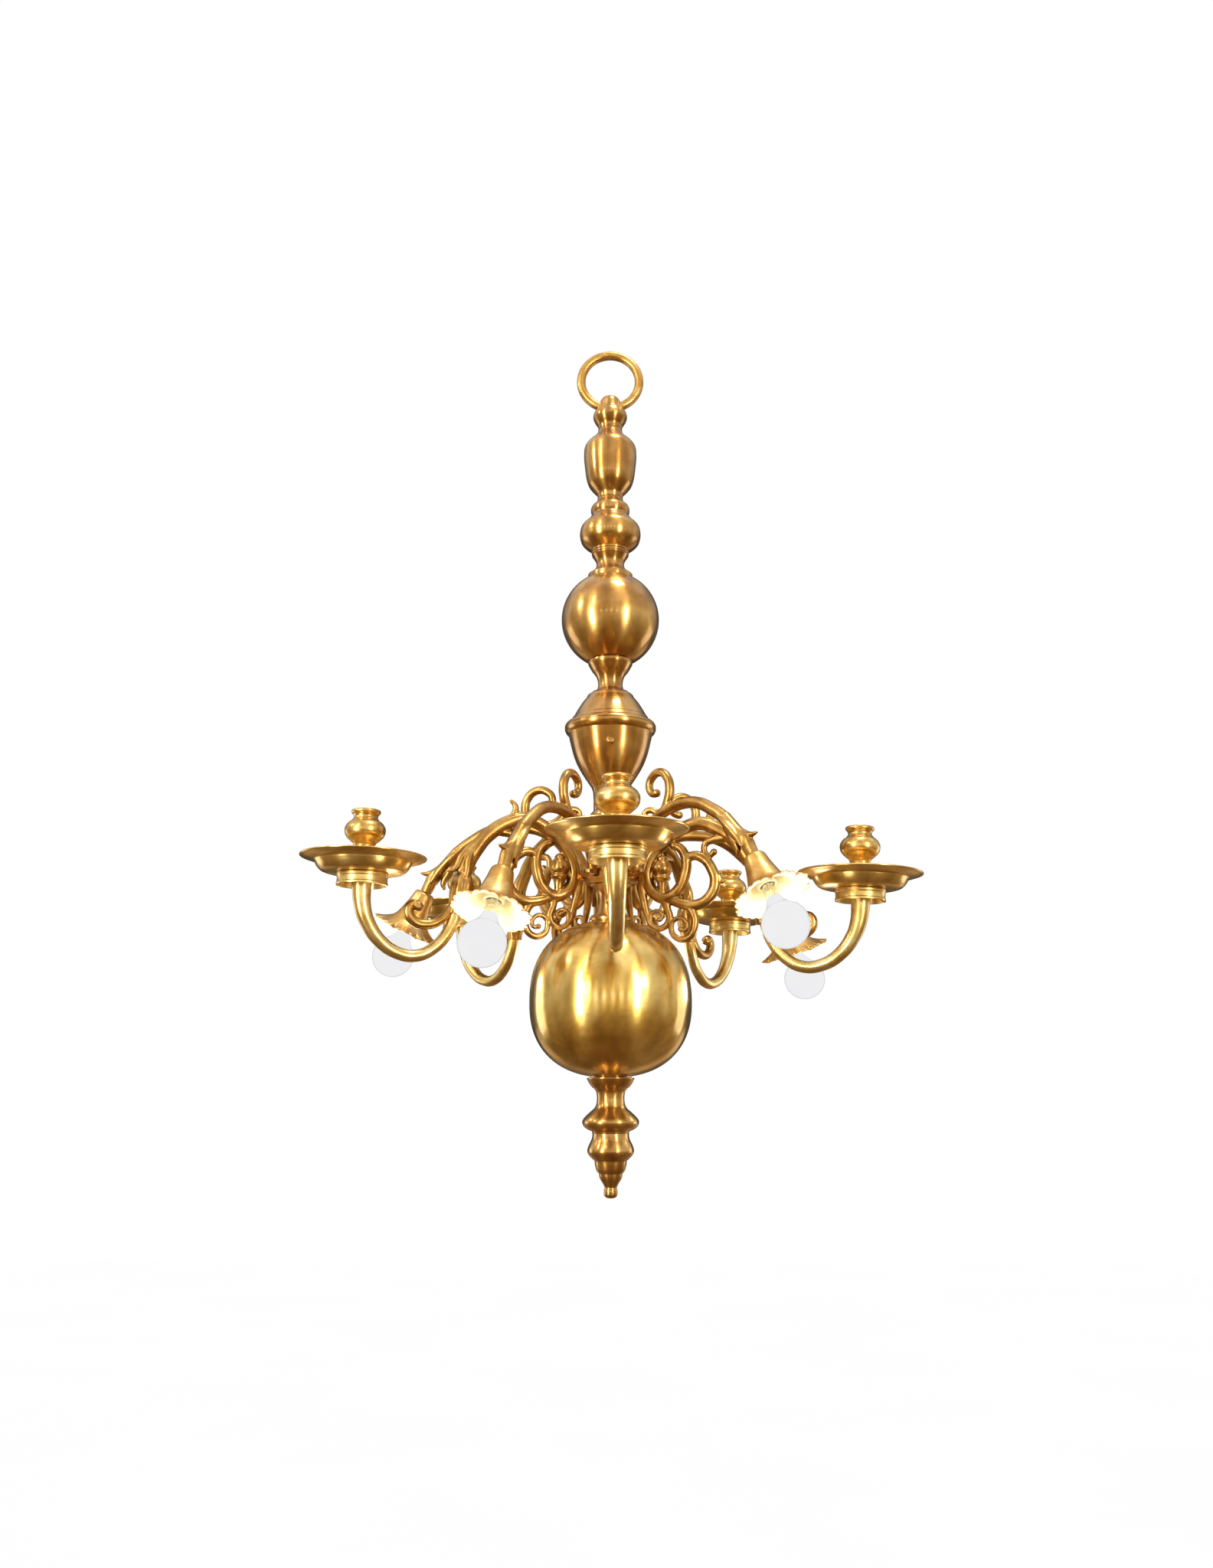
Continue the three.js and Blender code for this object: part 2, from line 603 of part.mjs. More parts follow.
function collar() {
  const foot = COLLAR_TOP - COLLAR_HEIGHT;
  const hole = holeFor(TENON_R, FACETS.small);
  const w = COLLAR_WALL;
  return turned([
    [hole, COLLAR_TOP], [COLLAR_R, COLLAR_TOP], [COLLAR_R, foot],
    [COLLAR_R - w, foot], [COLLAR_R - w, COLLAR_TOP - w], [hole, COLLAR_TOP - w], [hole, COLLAR_TOP],
  ], FACETS.small).translate(ARM_REACH, 0, 0);
}

// Drip pan: a spun dish with a broad flat brim

function dripPan() {
  const hole = holeFor(TENON_R, FACETS.pan);
  const w = PAN_WALL;
  return turned([
    [hole, -PAN_DEPTH], [PAN_FLOOR_R, -PAN_DEPTH], [PAN_BOWL_R - 4, -PAN_DEPTH + 5], [PAN_BOWL_R, -PAN_BRIM_DROP],
    [PAN_R, -1.4], [PAN_R - 0.5, 0.6], [PAN_BOWL_R - w, -PAN_BRIM_DROP + 1.5 * w],
    [PAN_BOWL_R - 5 - w, -PAN_DEPTH + 5 + w], [PAN_FLOOR_R - w, PAN_FLOOR], [hole, PAN_FLOOR], [hole, -PAN_DEPTH],
  ], FACETS.pan).translate(ARM_REACH, 0, 0);
}

// Candle cup: an urn bored for the candle above and for the arm's tenon below

function candleCup() {
  const foot = PAN_FLOOR + SEAT_GAP;
  const top = foot + CUP_HEIGHT;
  const tenonTop = COLLAR_ROOF + TENON_LENGTH + SEAT_GAP;
  const hole = holeFor(TENON_R, FACETS.cup);
  return turned([
    [hole, foot], [CUP_FOOT_R, foot], [CUP_WAIST_R, foot + 10], [CUP_WAIST_R, top - 37],
    [CUP_BELLY_R, top - 23], [CUP_BELLY_R, top - 18], [CUP_NECK_R, top - 7],
    [CUP_LIP_R, top - 3], [CUP_LIP_R - 1, top], [CANDLE_BORE_R, top],
    [CANDLE_BORE_R, top - CANDLE_BORE_DEPTH], [0, top - CANDLE_BORE_DEPTH], [0, tenonTop], [hole, tenonTop], [hole, foot],
  ], FACETS.cup).translate(ARM_REACH, 0, 0);
}

// Lamp arm: a bent tube from the slotted plate over an arch to the bell, with a curl on its back

function lampArm(tip) {
  const k = BELL_REACH / 210;
  const endX = BELL_REACH;
  const endZ = -BELL_DROP;
  const away = [Math.sin(BELL_TILT), -Math.cos(BELL_TILT)];
  const onAxis = (s) => [endX + away[0] * s, endZ + away[1] * s];
  const arch = [
    [40, -4], [41, 8], [50, 26], [64, 41], [80, 50], [98, 54], [118, 55], [138, 51], [158, 40], [176, 26], [190, 10],
  ];
  const tube = bar(
    [...drawn(arch, k), onAxis(-18 * k), onAxis(-7 * k), onAxis(SEAT_GAP - 0.6)],
    sized([4.4, 4.4, 4.6, 5, 5.4, 6, 6.6], k), sized([4, 4, 4.4, 4.8, 5.2, 5.8, 6.4], k), 11, 5);
  const curl = [[88, 51], [95, 62], [99, 75], [96, 88], [86, 96], [74, 94], [68, 86], [71, 77], [78, 74]];
  const backCurl = bar(
    drawn(curl, k), sized([4.2, 3.8, 3.6, 3.2, 2.6], k), sized([4, 3.6, 3.2, 2.8, 2.4], k), 7, 4);
  const leafLine = [[endX - 18 * k, endZ + 24 * k], [endX - 6 * k, endZ + 21 * k], [endX + 7 * k, endZ + 18 * k]];
  const leaf = bar(leafLine, sized([5, 3.6, 1], k), sized([5.6, 4.4, 1.4], k), 2, 4);
  const nipple = turned([[0, NIPPLE_LENGTH], [NIPPLE_R, NIPPLE_LENGTH], [NIPPLE_R, -4], [0, -4]], 6);
  return joined([tube, backCurl, leaf, tongue(tip, 43 * k), alongBell(nipple)]);
}

// Places a piece that was turned round Z, with Z running down the bell, on the end of the lamp arm.
function alongBell(geometry) {
  return geometry.rotateY(Math.PI - BELL_TILT).translate(BELL_REACH, 0, -BELL_DROP);
}

// Bell: a flower-shaped shade whose rim is cut into petals

function bell() {
  const hole = holeFor(NIPPLE_R, 2 * BELL_PETALS);
  const w = BELL_WALL;
  const l = BELL_LENGTH;
  const profile = [
    [hole, SEAT_GAP], [BELL_TOP_R, SEAT_GAP], [BELL_WAIST_R - 3.4, 20], [BELL_WAIST_R, 32],
    [0.5 * (BELL_WAIST_R + BELL_RIM_R), 40], [BELL_RIM_R, l], [0.5 * (BELL_WAIST_R + BELL_RIM_R) - 1, 40 + 1.6 * w],
    [BELL_WAIST_R - w, 32 + w], [BELL_WAIST_R - 3.4 - w, 20], [BELL_TOP_R - w, SEAT_GAP + w], [hole, SEAT_GAP + w],
    [hole, SEAT_GAP],
  ];
  const geometry = turned(profile, 2 * BELL_PETALS);
  const position = geometry.attributes.position;
  const point = new THREE.Vector3();
  for (let i = 0; i < position.count; i++) {
    point.fromBufferAttribute(position, i);
    const radius = Math.hypot(point.x, point.y);
    const share = Math.max(0, (radius - BELL_WAIST_R) / (BELL_RIM_R - BELL_WAIST_R));
    const wave = Math.cos(BELL_PETALS * Math.atan2(point.y, point.x));
    const grow = 1 + share * BELL_PETAL_DEPTH * wave / BELL_RIM_R;
    position.setXYZ(i, point.x * grow, point.y * grow, point.z - share * BELL_PETAL_DEPTH * wave);
  }
  return alongBell(geometry);
}

// Lampholder: a porcelain sleeve screwed on the arm's nipple inside the bell

function lampholder() {
  const start = SEAT_GAP + BELL_WALL + SEAT_GAP;
  const hole = holeFor(NIPPLE_R, FACETS.holder);
  const bore = holeFor(CAP_R, FACETS.holder);
  const floor = NIPPLE_LENGTH + SEAT_GAP;
  const contact = CAP_START - SEAT_GAP;
  const r = HOLDER_R;
  return alongBell(turned([
    [hole, start], [r, start], [r, start + HOLDER_LENGTH], [bore, start + HOLDER_LENGTH],
    [bore, contact], [0, contact], [0, floor], [hole, floor], [hole, start],
  ], FACETS.holder));
}

// Bulb: a threaded cap and a blown frosted globe, open at its neck

function bulbCap() {
  return alongBell(turned([
    [0, CAP_START], [3, CAP_START], [CAP_R, CAP_START + 5], [CAP_R, CAP_START + CAP_LENGTH],
    [0, CAP_START + CAP_LENGTH],
  ], FACETS.holder));
}

function bulbGlass() {
  const start = CAP_START + CAP_LENGTH + SEAT_GAP;
  const r = BULB_R;
  const w = BULB_WALL;
  const neck = BULB_NECK_R;
  const outside = [[neck, start], [neck + 2, start + 5], ...arc(0, BULB_CENTRE, r, r, -45, 90, 5)];
  const inside = [...arc(0, BULB_CENTRE, r - w, r - w, 90, -45, 4), [neck - w, start]];
  return alongBell(turned([...outside, ...inside, outside[0]], FACETS.bulb));
}

// Arms: where each one stands round the stem. Zero turn faces the viewer and positive turns to the viewer's right.

function armsOf(trims, firstTurn) {
  return trims.map(({ turn, tip }, i) => ({
    azimuth: THREE.MathUtils.degToRad(firstTurn + SET_TURN + turn + 360 * i / ARMS_PER_SET - 90),
    tip: THREE.MathUtils.degToRad(tip),
  }));
}

const candleArms = armsOf(CANDLE_ARM_TRIM, 0);
const lampArms = armsOf(LAMP_ARM_TRIM, 180 / ARMS_PER_SET);
const everyArm = [...candleArms, ...lampArms];

// A frame for one arm: turned about the stem, then tipped about its tongue.
function armFrame({ azimuth, tip }) {
  const turnedGroup = new THREE.Group();
  turnedGroup.rotation.z = azimuth;
  turnedGroup.position.z = PAN_PLANE;
  const tippedGroup = new THREE.Group();
  tippedGroup.applyMatrix4(tipMatrix(tip));
  turnedGroup.add(tippedGroup);
  chandelier.add(turnedGroup);
  return tippedGroup;
}

// Assembly

add(chandelier, 'suspension_ring', suspensionRing(), polishedBrass());
add(chandelier, 'top_knob', topKnob(), polishedBrass());
add(chandelier, 'upper_vase', upperVase(), polishedBrass());
add(chandelier, 'mid_knop', midKnop(), polishedBrass());
add(chandelier, 'upper_ball', upperBall(), polishedBrass());
add(chandelier, 'vase_cover', vaseCover(), polishedBrass());
add(chandelier, 'vase_body', vaseBody(), polishedBrass());
add(chandelier, 'vase_screw', vaseScrew(), polishedBrass());
add(chandelier, 'hub_spool', spool(), polishedBrass());
add(chandelier, 'arm_slot_plate', slotPlate(), polishedBrass());
add(chandelier, 'hub_neck', hubNeck(), polishedBrass());
add(chandelier, 'big_ball', bigBall(), polishedBrass());
add(chandelier, 'pendant', pendant(), polishedBrass());
add(chandelier, 'finial', finial(), polishedBrass());
add(chandelier, 'tie_rod', tieRod(), steel());

candleArms.forEach((arm, i) => {
  const frame = armFrame(arm);
  const n = i + 1;
  add(frame, `candle_arm_${n}`, candleArm(arm.tip), castBrass());
  add(frame, `candle_collar_${n}`, collar(), polishedBrass());
  add(frame, `drip_pan_${n}`, dripPan(), polishedBrass());
  add(frame, `candle_cup_${n}`, candleCup(), polishedBrass());
});

lampArms.forEach((arm, i) => {
  const frame = armFrame(arm);
  const n = i + 1;
  add(frame, `lamp_arm_${n}`, lampArm(arm.tip), castBrass());
  add(frame, `lamp_bell_${n}`, bell(), castBrass());
  add(frame, `lampholder_${n}`, lampholder(), porcelain());
  add(frame, `bulb_cap_${n}`, bulbCap(), steel());
  add(frame, `bulb_glass_${n}`, bulbGlass(), frostedGlass());
});

export default chandelier;
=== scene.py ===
"""A turned brass chandelier with five scrolled candle arms and five hanging lamp arms, modelled and lit.

Outlines and lines are in millimetres, heights are measured down from the crown of the suspension ring.
"""
import math

import bpy
from mathutils import Matrix, Vector


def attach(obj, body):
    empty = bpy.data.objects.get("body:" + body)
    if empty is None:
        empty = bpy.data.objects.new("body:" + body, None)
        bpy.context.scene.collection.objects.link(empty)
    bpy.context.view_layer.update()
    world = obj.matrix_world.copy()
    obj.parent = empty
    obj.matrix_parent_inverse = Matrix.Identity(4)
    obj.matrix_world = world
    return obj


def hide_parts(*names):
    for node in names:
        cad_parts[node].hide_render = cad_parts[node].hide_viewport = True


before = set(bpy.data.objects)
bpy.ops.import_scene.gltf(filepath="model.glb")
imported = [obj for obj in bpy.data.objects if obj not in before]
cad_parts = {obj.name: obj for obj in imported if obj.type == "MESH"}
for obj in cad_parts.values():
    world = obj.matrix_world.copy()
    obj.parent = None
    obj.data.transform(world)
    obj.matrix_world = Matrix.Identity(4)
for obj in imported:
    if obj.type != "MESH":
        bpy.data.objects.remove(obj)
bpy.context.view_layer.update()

MM = 0.001
scene = bpy.context.scene

# Camera, level with the foot of the big ball and looking a little up

CAMERA_PLACE = (-0.0043, -1.3786, -0.8290)
CAMERA_TILT = 12.878

camera_data = bpy.data.cameras.new("camera")
camera_data.lens = 29.71
camera_data.sensor_width = 36
camera_data.clip_start = 0.05
camera = bpy.data.objects.new("camera", camera_data)
camera.location = CAMERA_PLACE
camera.rotation_euler = (math.radians(90 + CAMERA_TILT), 0, 0)
scene.collection.objects.link(camera)
scene.camera = camera


# Colour and node helpers

# Sockets of a colour mix node: its share, its two colours and its result
MIX_SHARE = 0
MIX_FIRST = 6
MIX_SECOND = 7
MIX_RESULT = 2


def tint(hex_code):
    """An sRGB hex colour as linear light."""
    channels = [int(hex_code[i:i + 2], 16) / 255 for i in (1, 3, 5)]
    linear = [c / 12.92 if c <= 0.04045 else ((c + 0.055) / 1.055) ** 2.4 for c in channels]
    return (*linear, 1.0)


def add_node(tree, kind, settings=None, inputs=None):
    """Adds one node with its settings; an input is given a value or another node's output."""
    node = tree.nodes.new(kind)
    for name, value in (settings or {}).items():
        setattr(node, name, value)
    for name, value in (inputs or {}).items():
        if isinstance(value, bpy.types.NodeSocket):
            tree.links.new(value, node.inputs[name])
        else:
            node.inputs[name].default_value = value
    return node


def set_ramp(node, stops):
    """Gives a colour ramp its stops, from [place, hex colour] pairs."""
    ramp = node.color_ramp
    while len(ramp.elements) < len(stops):
        ramp.elements.new(0.5)
    for element, (place, hex_code) in zip(ramp.elements, stops):
        element.position = place
        element.color = tint(hex_code)


def new_material(name):
    """An empty material with its tree, its output and the object's own coordinates."""
    material = bpy.data.materials.new(name)
    material.use_nodes = True
    tree = material.node_tree
    tree.nodes.clear()
    output = add_node(tree, "ShaderNodeOutputMaterial")
    coordinates = add_node(tree, "ShaderNodeTexCoord").outputs["Object"]
    return material, tree, output, coordinates


# Brass: copper and zinc, yellow where it is freshly polished and redder where it is older. Its pieces
# differ in how they were made, and so in their gloss, their clouds of tarnish and their clear coat.

# How each way of working stretches its marks: small numbers across an axis give long marks round it
EVEN_MARKS = (1.0, 1.0, 1.0)
LATHE_RINGS = (0.12, 0.12, 1.0)
SPINNING_RINGS = (0.2, 0.2, 1.0)
DRAWN_LINES = (1.0, 1.0, 0.2)
BRUSHED_LINES = (1.0, 1.0, 0.1)

LACQUER_ROUGHNESS = 0.08
HOLLOW_DEPTH = 0.009
QUARTER_TURN = 0.25


def brass(name, tones, gloss, patch, grain, marks, turned=0.0, hollows=None, lacquer=0.0, metal=1.0):
    """Brass with clouds of tarnish and a gloss that is worn in marks.

    tones are the dark, middle and bright colours, and patch is the width of a cloud of them in mm.
    gloss holds the least and the greatest roughness, and grain is the width of a mark in mm. The real
    marks are too fine to see from here, so these are coarser. turned says how far the lathe's rings draw
    each reflection out along the piece. The hollows colour is mixed in where ambient occlusion finds a
    casting sheltered: painted shade in its hollows, together with the grime kept there.
    lacquer is the share of clear coat, which adds small sharp lights over the soft ones. metal is below
    1 where a dull skin covers the bare metal.
    """
    dark, middle, bright = tones
    material, tree, output, place = new_material(name)
    clouds = add_node(tree, "ShaderNodeTexNoise", None, {
        "Vector": place, "Scale": 1000 / patch, "Detail": 4.0, "Roughness": 0.55, "Distortion": 0.6})
    tone = add_node(tree, "ShaderNodeValToRGB", None, {"Fac": clouds.outputs["Fac"]})
    set_ramp(tone, [[0.36, dark], [0.52, middle], [0.66, bright]])
    colour = tone.outputs["Color"]
    # Painted shade: ambient occlusion darkens the hollows with the hollows colour, standing for shade there
    # as well as grime
    if hollows:
        shelter = add_node(tree, "ShaderNodeAmbientOcclusion", {"samples": 8, "only_local": True}, {
            "Distance": HOLLOW_DEPTH})
        hollow_shade = add_node(tree, "ShaderNodeMapRange", {"interpolation_type": "SMOOTHSTEP"}, {
            "Value": shelter.outputs["AO"], "From Min": 0.30, "From Max": 0.95,
            "To Min": 1.0, "To Max": 0.0})
        shade_and_grime = add_node(tree, "ShaderNodeMix", {"data_type": "RGBA"}, {
            MIX_SHARE: hollow_shade.outputs["Result"], MIX_FIRST: colour, MIX_SECOND: tint(hollows)})
        colour = shade_and_grime.outputs[MIX_RESULT]
    stretched = add_node(tree, "ShaderNodeMapping", None, {"Vector": place, "Scale": marks})
    streaks = add_node(tree, "ShaderNodeTexNoise", None, {
        "Vector": stretched.outputs["Vector"], "Scale": 1000 / grain, "Detail": 3.0, "Roughness": 0.6})
    worn = add_node(tree, "ShaderNodeMapRange", None, {
        "Value": streaks.outputs["Fac"], "From Min": 0.3, "From Max": 0.7,
        "To Min": gloss[0], "To Max": gloss[1]})
    shader = add_node(tree, "ShaderNodeBsdfPrincipled", None, {
        "Base Color": colour, "Metallic": metal, "Roughness": worn.outputs["Result"],
        "Coat Weight": lacquer, "Coat Roughness": LACQUER_ROUGHNESS})
    if turned:
        rings = add_node(tree, "ShaderNodeTangent", {"direction_type": "RADIAL", "axis": "Z"})
        tree.links.new(rings.outputs["Tangent"], shader.inputs["Tangent"])
        shader.inputs["Anisotropic"].default_value = turned
        shader.inputs["Anisotropic Rotation"].default_value = QUARTER_TURN
    tree.links.new(shader.outputs["BSDF"], output.inputs["Surface"])
    return material


# The stem, turned, polished and lacquered: reflections drawn out into upright bands, and sharp lights
lacquered_brass = brass("lacquered_turned_brass", ["#A87430", "#BF8D42", "#D0A45A"],
                        (0.285, 0.32), 40, 3.0, LATHE_RINGS, turned=0.75, lacquer=0.75)
# The big ball, spun and newly polished: yellower and glossier than the stem
yellow_brass = brass("polished_yellow_brass", ["#C79A42", "#DDB45C", "#EBCA7C"],
                     (0.22, 0.265), 46, 3.0, LATHE_RINGS, turned=0.8, lacquer=0.75)
# The arms, cast in sand and filed smooth: a soft shine, with painted shade and brown grime in the hollows
cast_brass = brass("lacquered_cast_brass", ["#A07434", "#BC8E48", "#D0A65E"],
                   (0.285, 0.34), 24, 5.0, EVEN_MARKS, hollows="#5E3810", lacquer=0.25)
# The pans, spun from sheet: pale and bright
spun_brass = brass("bright_spun_brass", ["#CFA452", "#E4BD6B", "#F0D28A"],
                   (0.285, 0.32), 30, 2.4, SPINNING_RINGS, turned=0.7, lacquer=0.35)
# The candle cups, turned and rubbed by hand: warm, with no rings in the shine
cup_brass = brass("polished_cup_brass", ["#B68A42", "#CEA45A", "#DEBC76"],
                  (0.29, 0.34), 12, 3.0, EVEN_MARKS, lacquer=0.3)
# The legs and collars, of drawn tube: the palest brass, worn lengthwise
tube_brass = brass("drawn_tube_brass", ["#D0AA5E", "#E3C47C", "#F0D89C"],
                   (0.29, 0.34), 26, 2.0, DRAWN_LINES, lacquer=0.2)
# The ring and the bells, brushed: a satin shine with no lacquer over it
satin_brass = brass("brushed_satin_brass", ["#BE8C44", "#D2A45C", "#E2BD7A"],
                    (0.32, 0.38), 22, 2.0, BRUSHED_LINES)
# The inside of the bells, left unpolished: a dull skin that scatters the light of the bulb. Its pale cream
# colour is a painted glow of the bulb on the brass
glow_painted_bell_brass = brass("dull_bell_inside_painted_glow", ["#EAD8A2", "#F2E3B6", "#F7EDCE"],
                  (0.70, 0.78), 24, 2.0, EVEN_MARKS, metal=0.1)

# Blown glass, frosted inside and lit: an even pale glow, greyer at the edge, where its wall is seen
# slantwise. The haze in it is 25 mm wide.

HAZE_WIDTH = 25
frosted_glass, tree, output, place = new_material("frosted_lit_glass")
haze = add_node(tree, "ShaderNodeTexNoise", None, {
    "Vector": place, "Scale": 1000 / HAZE_WIDTH, "Detail": 2.0})
glow = add_node(tree, "ShaderNodeValToRGB", None, {"Fac": haze.outputs["Fac"]})
set_ramp(glow, [[0.3, "#EDEDEF"], [0.7, "#F0F0F1"]])
wall = add_node(tree, "ShaderNodeLayerWeight", None, {"Blend": 0.5})
thick = add_node(tree, "ShaderNodeMapRange", {"interpolation_type": "SMOOTHSTEP"}, {
    "Value": wall.outputs["Facing"], "From Min": 0.60, "From Max": 1.0, "To Min": 0.0, "To Max": 0.9})
through = add_node(tree, "ShaderNodeMix", {"data_type": "RGBA"}, {
    MIX_SHARE: thick.outputs["Result"], MIX_FIRST: glow.outputs["Color"], MIX_SECOND: tint("#BDBDC2")})
shader = add_node(tree, "ShaderNodeBsdfPrincipled", None, {
    "Base Color": (0.0, 0.0, 0.0, 1.0), "Roughness": 0.6, "Emission Color": through.outputs[MIX_RESULT],
    "Emission Strength": 1.0, "Specular IOR Level": 0.0})
tree.links.new(shader.outputs["BSDF"], output.inputs["Surface"])

# Porcelain, cast and glazed: ivory with a faint mottle about 3 mm wide, under a smooth wet glaze

MOTTLE_WIDTH = 10 / 3
porcelain, tree, output, place = new_material("glazed_porcelain")
mottle = add_node(tree, "ShaderNodeTexNoise", None, {
    "Vector": place, "Scale": 1000 / MOTTLE_WIDTH, "Detail": 3.0})
glaze = add_node(tree, "ShaderNodeValToRGB", None, {"Fac": mottle.outputs["Fac"]})
set_ramp(glaze, [[0.35, "#DCCFA6"], [0.65, "#E8DDBC"]])
shader = add_node(tree, "ShaderNodeBsdfPrincipled", None, {
    "Base Color": glaze.outputs["Color"], "Roughness": 0.22,
    "Coat Weight": 0.4, "Coat Roughness": 0.08})
tree.links.new(shader.outputs["BSDF"], output.inputs["Surface"])


# Drawn steel and rolled cap metal: greys whose shade and gloss change together from patch to patch

def grey_metal(name, dark, light, gloss, grain):
    """A grey metal with patches grain mm wide, and gloss from its least to its greatest roughness."""
    material, tree, output, place = new_material(name)
    patches = add_node(tree, "ShaderNodeTexNoise", None, {
        "Vector": place, "Scale": 1000 / grain, "Detail": 3.0})
    tone = add_node(tree, "ShaderNodeValToRGB", None, {"Fac": patches.outputs["Fac"]})
    set_ramp(tone, [[0.35, dark], [0.65, light]])
    worn = add_node(tree, "ShaderNodeMapRange", None, {
        "Value": patches.outputs["Fac"], "From Min": 0.3, "From Max": 0.7,
        "To Min": gloss[0], "To Max": gloss[1]})
    shader = add_node(tree, "ShaderNodeBsdfPrincipled", None, {
        "Base Color": tone.outputs["Color"], "Metallic": 1.0, "Roughness": worn.outputs["Result"]})
    tree.links.new(shader.outputs["BSDF"], output.inputs["Surface"])
    return material


steel = grey_metal("drawn_steel", "#77777A", "#9A9A9E", (0.3, 0.45), 4.0)
cap_metal = grey_metal("rolled_cap_metal", "#B9B5AA", "#D8D5CC", (0.2, 0.34), 3.0)


# Workshop helpers

def clear_bench():
    """Nothing selected, and out of edit mode."""
    if bpy.context.object and bpy.context.object.mode != "OBJECT":
        bpy.ops.object.mode_set(mode="OBJECT")
    bpy.ops.object.select_all(action="DESELECT")


def take(piece):
    """Only this piece selected and active."""
    clear_bench()
    piece.select_set(True)
    bpy.context.view_layer.objects.active = piece


def eased(points, steps=5):
    """A smooth line through [radius, height] points."""
    line = []
    ends = [points[0], *points, points[-1]]
    for p0, p1, p2, p3 in zip(ends, ends[1:], ends[2:], ends[3:]):
        for i in range(steps):
            t = i / steps
            line.append([0.5 * (2 * b + (c - a) * t + (2 * a - 5 * b + 4 * c - d) * t * t
                                + (3 * b - a - 3 * c + d) * t ** 3)
                         for a, b, c, d in zip(p0, p1, p2, p3)])
    line.append(list(points[-1]))
    return line


# Points of an outline closer than the gap are made one. Corners sharper than the bevel's angle are eased.
MERGE_GAP = 0.00002
SHORTEST_EDGE = 0.00001
BEVEL_ANGLE = math.radians(38)
CREASE_ANGLE = math.radians(50)


def turn_piece(name, outline, steps=80, edge=0.25):
    """A turned piece: an outline of [radius, height] points is spun round the upright axis."""
    clear_bench()
    bpy.ops.mesh.primitive_plane_add(size=0.002, location=(outline[0][0] * MM, 0, outline[0][1] * MM))
    piece = bpy.context.object
    piece.name = name
    bpy.ops.object.mode_set(mode="EDIT")
    bpy.ops.mesh.select_all(action="SELECT")
    bpy.ops.mesh.merge(type="CENTER")
    for (r0, z0), (r1, z1) in zip(outline, outline[1:]):
        step = {"value": ((r1 - r0) * MM, 0, (z1 - z0) * MM)}
        bpy.ops.mesh.extrude_vertices_move(TRANSFORM_OT_translate=step)
    bpy.ops.mesh.select_all(action="SELECT")
    bpy.ops.mesh.spin(steps=steps, angle=2 * math.pi, center=(0, 0, 0), axis=(0, 0, 1))
    bpy.ops.mesh.select_all(action="SELECT")
    bpy.ops.mesh.remove_doubles(threshold=MERGE_GAP)
    bpy.ops.mesh.dissolve_degenerate(threshold=SHORTEST_EDGE)
    bpy.ops.mesh.normals_make_consistent(inside=False)
    bpy.ops.object.mode_set(mode="OBJECT")
    bpy.ops.object.transform_apply(location=True, rotation=True, scale=True)
    if edge:
        soften = piece.modifiers.new("edge", "BEVEL")
        soften.width = edge * MM
        soften.segments = 2
        soften.limit_method = "ANGLE"
        soften.angle_limit = BEVEL_ANGLE
        bpy.ops.object.modifier_apply(modifier=soften.name)
    bpy.ops.object.shade_smooth_by_angle(angle=CREASE_ANGLE)
    return piece


# Where the grooves run along a cast strand, in degrees round it, and how deep and wide they are
GROOVES = (54, 126, 234, 306)
GROOVE_DEPTH = 0.11
GROOVE_WIDTH = 13


def ribbed_section():
    """The section of a cast strand, 1 mm in radius: round, with two grooves down each of its flat sides."""
    clear_bench()
    bpy.ops.curve.primitive_bezier_circle_add(radius=MM)
    section = bpy.context.object
    section.name = "strand_section"
    bpy.ops.object.mode_set(mode="EDIT")
    bpy.ops.curve.select_all(action="SELECT")
    bpy.ops.curve.subdivide(number_cuts=11)
    bpy.ops.object.mode_set(mode="OBJECT")
    section.data.resolution_u = 1
    points = section.data.splines[0].bezier_points
    for i, point in enumerate(points):
        angle = 360 * i / len(points)
        off_groove = min(abs(angle - groove) for groove in GROOVES)
        r = MM * (1.01 - GROOVE_DEPTH * math.exp(-(off_groove / GROOVE_WIDTH) ** 2))
        point.co = (r * math.cos(math.radians(angle)), r * math.sin(math.radians(angle)), 0)
        point.handle_left_type = "VECTOR"
        point.handle_right_type = "VECTOR"
    return section


strand_section = ribbed_section()


def draw_strand(name, line, radii, flat=1.0, ribbed=False):
    """A strand drawn along a smooth line of [x, z] or [x, y, z] points, thick and thin by turns."""
    clear_bench()
    bpy.ops.curve.primitive_bezier_curve_add(radius=0.01, location=(0, 0, 0))
    strand = bpy.context.object
    strand.name = name
    curve = strand.data
    curve.dimensions = "3D"
    curve.bevel_depth = MM
    curve.bevel_resolution = 7
    curve.resolution_u = 12
    curve.use_fill_caps = True
    curve.twist_mode = "MINIMUM"
    if ribbed:
        curve.bevel_mode = "OBJECT"
        curve.bevel_object = strand_section
    spline = curve.splines[0]
    spline.bezier_points.add(len(line) - 2)
    for i, (point, place) in enumerate(zip(spline.bezier_points, line)):
        at = i / (len(line) - 1) * (len(radii) - 1)
        low = min(int(at), len(radii) - 2)
        aside = place[1] if len(place) == 3 else 0
        point.co = (place[0] * MM, aside * MM, place[-1] * MM)
        point.radius = radii[low] + (radii[low + 1] - radii[low]) * (at - low)
        point.handle_left_type = "AUTO"
        point.handle_right_type = "AUTO"
    bpy.ops.object.convert(target="MESH")
    strand = bpy.context.object
    strand.scale = (1, flat, 1)
    bpy.ops.object.transform_apply(location=True, rotation=True, scale=True)
    return strand


def bead_at(x, z, r):
    """A small round bead that closes a curl."""
    clear_bench()
    bpy.ops.mesh.primitive_uv_sphere_add(
        segments=20, ring_count=12, radius=r * MM, location=(x * MM, 0, z * MM))
    bead = bpy.context.object
    bpy.ops.object.transform_apply(location=True, rotation=True, scale=True)
    return bead


def leaf_pair(line, radii):
    """A leaf on the near side of an arm, and its mirror image on the far side."""
    far_line = [[x, -y, z] for x, y, z in line]
    return [draw_strand("near_leaf", line, radii), draw_strand("far_leaf", far_line, radii)]


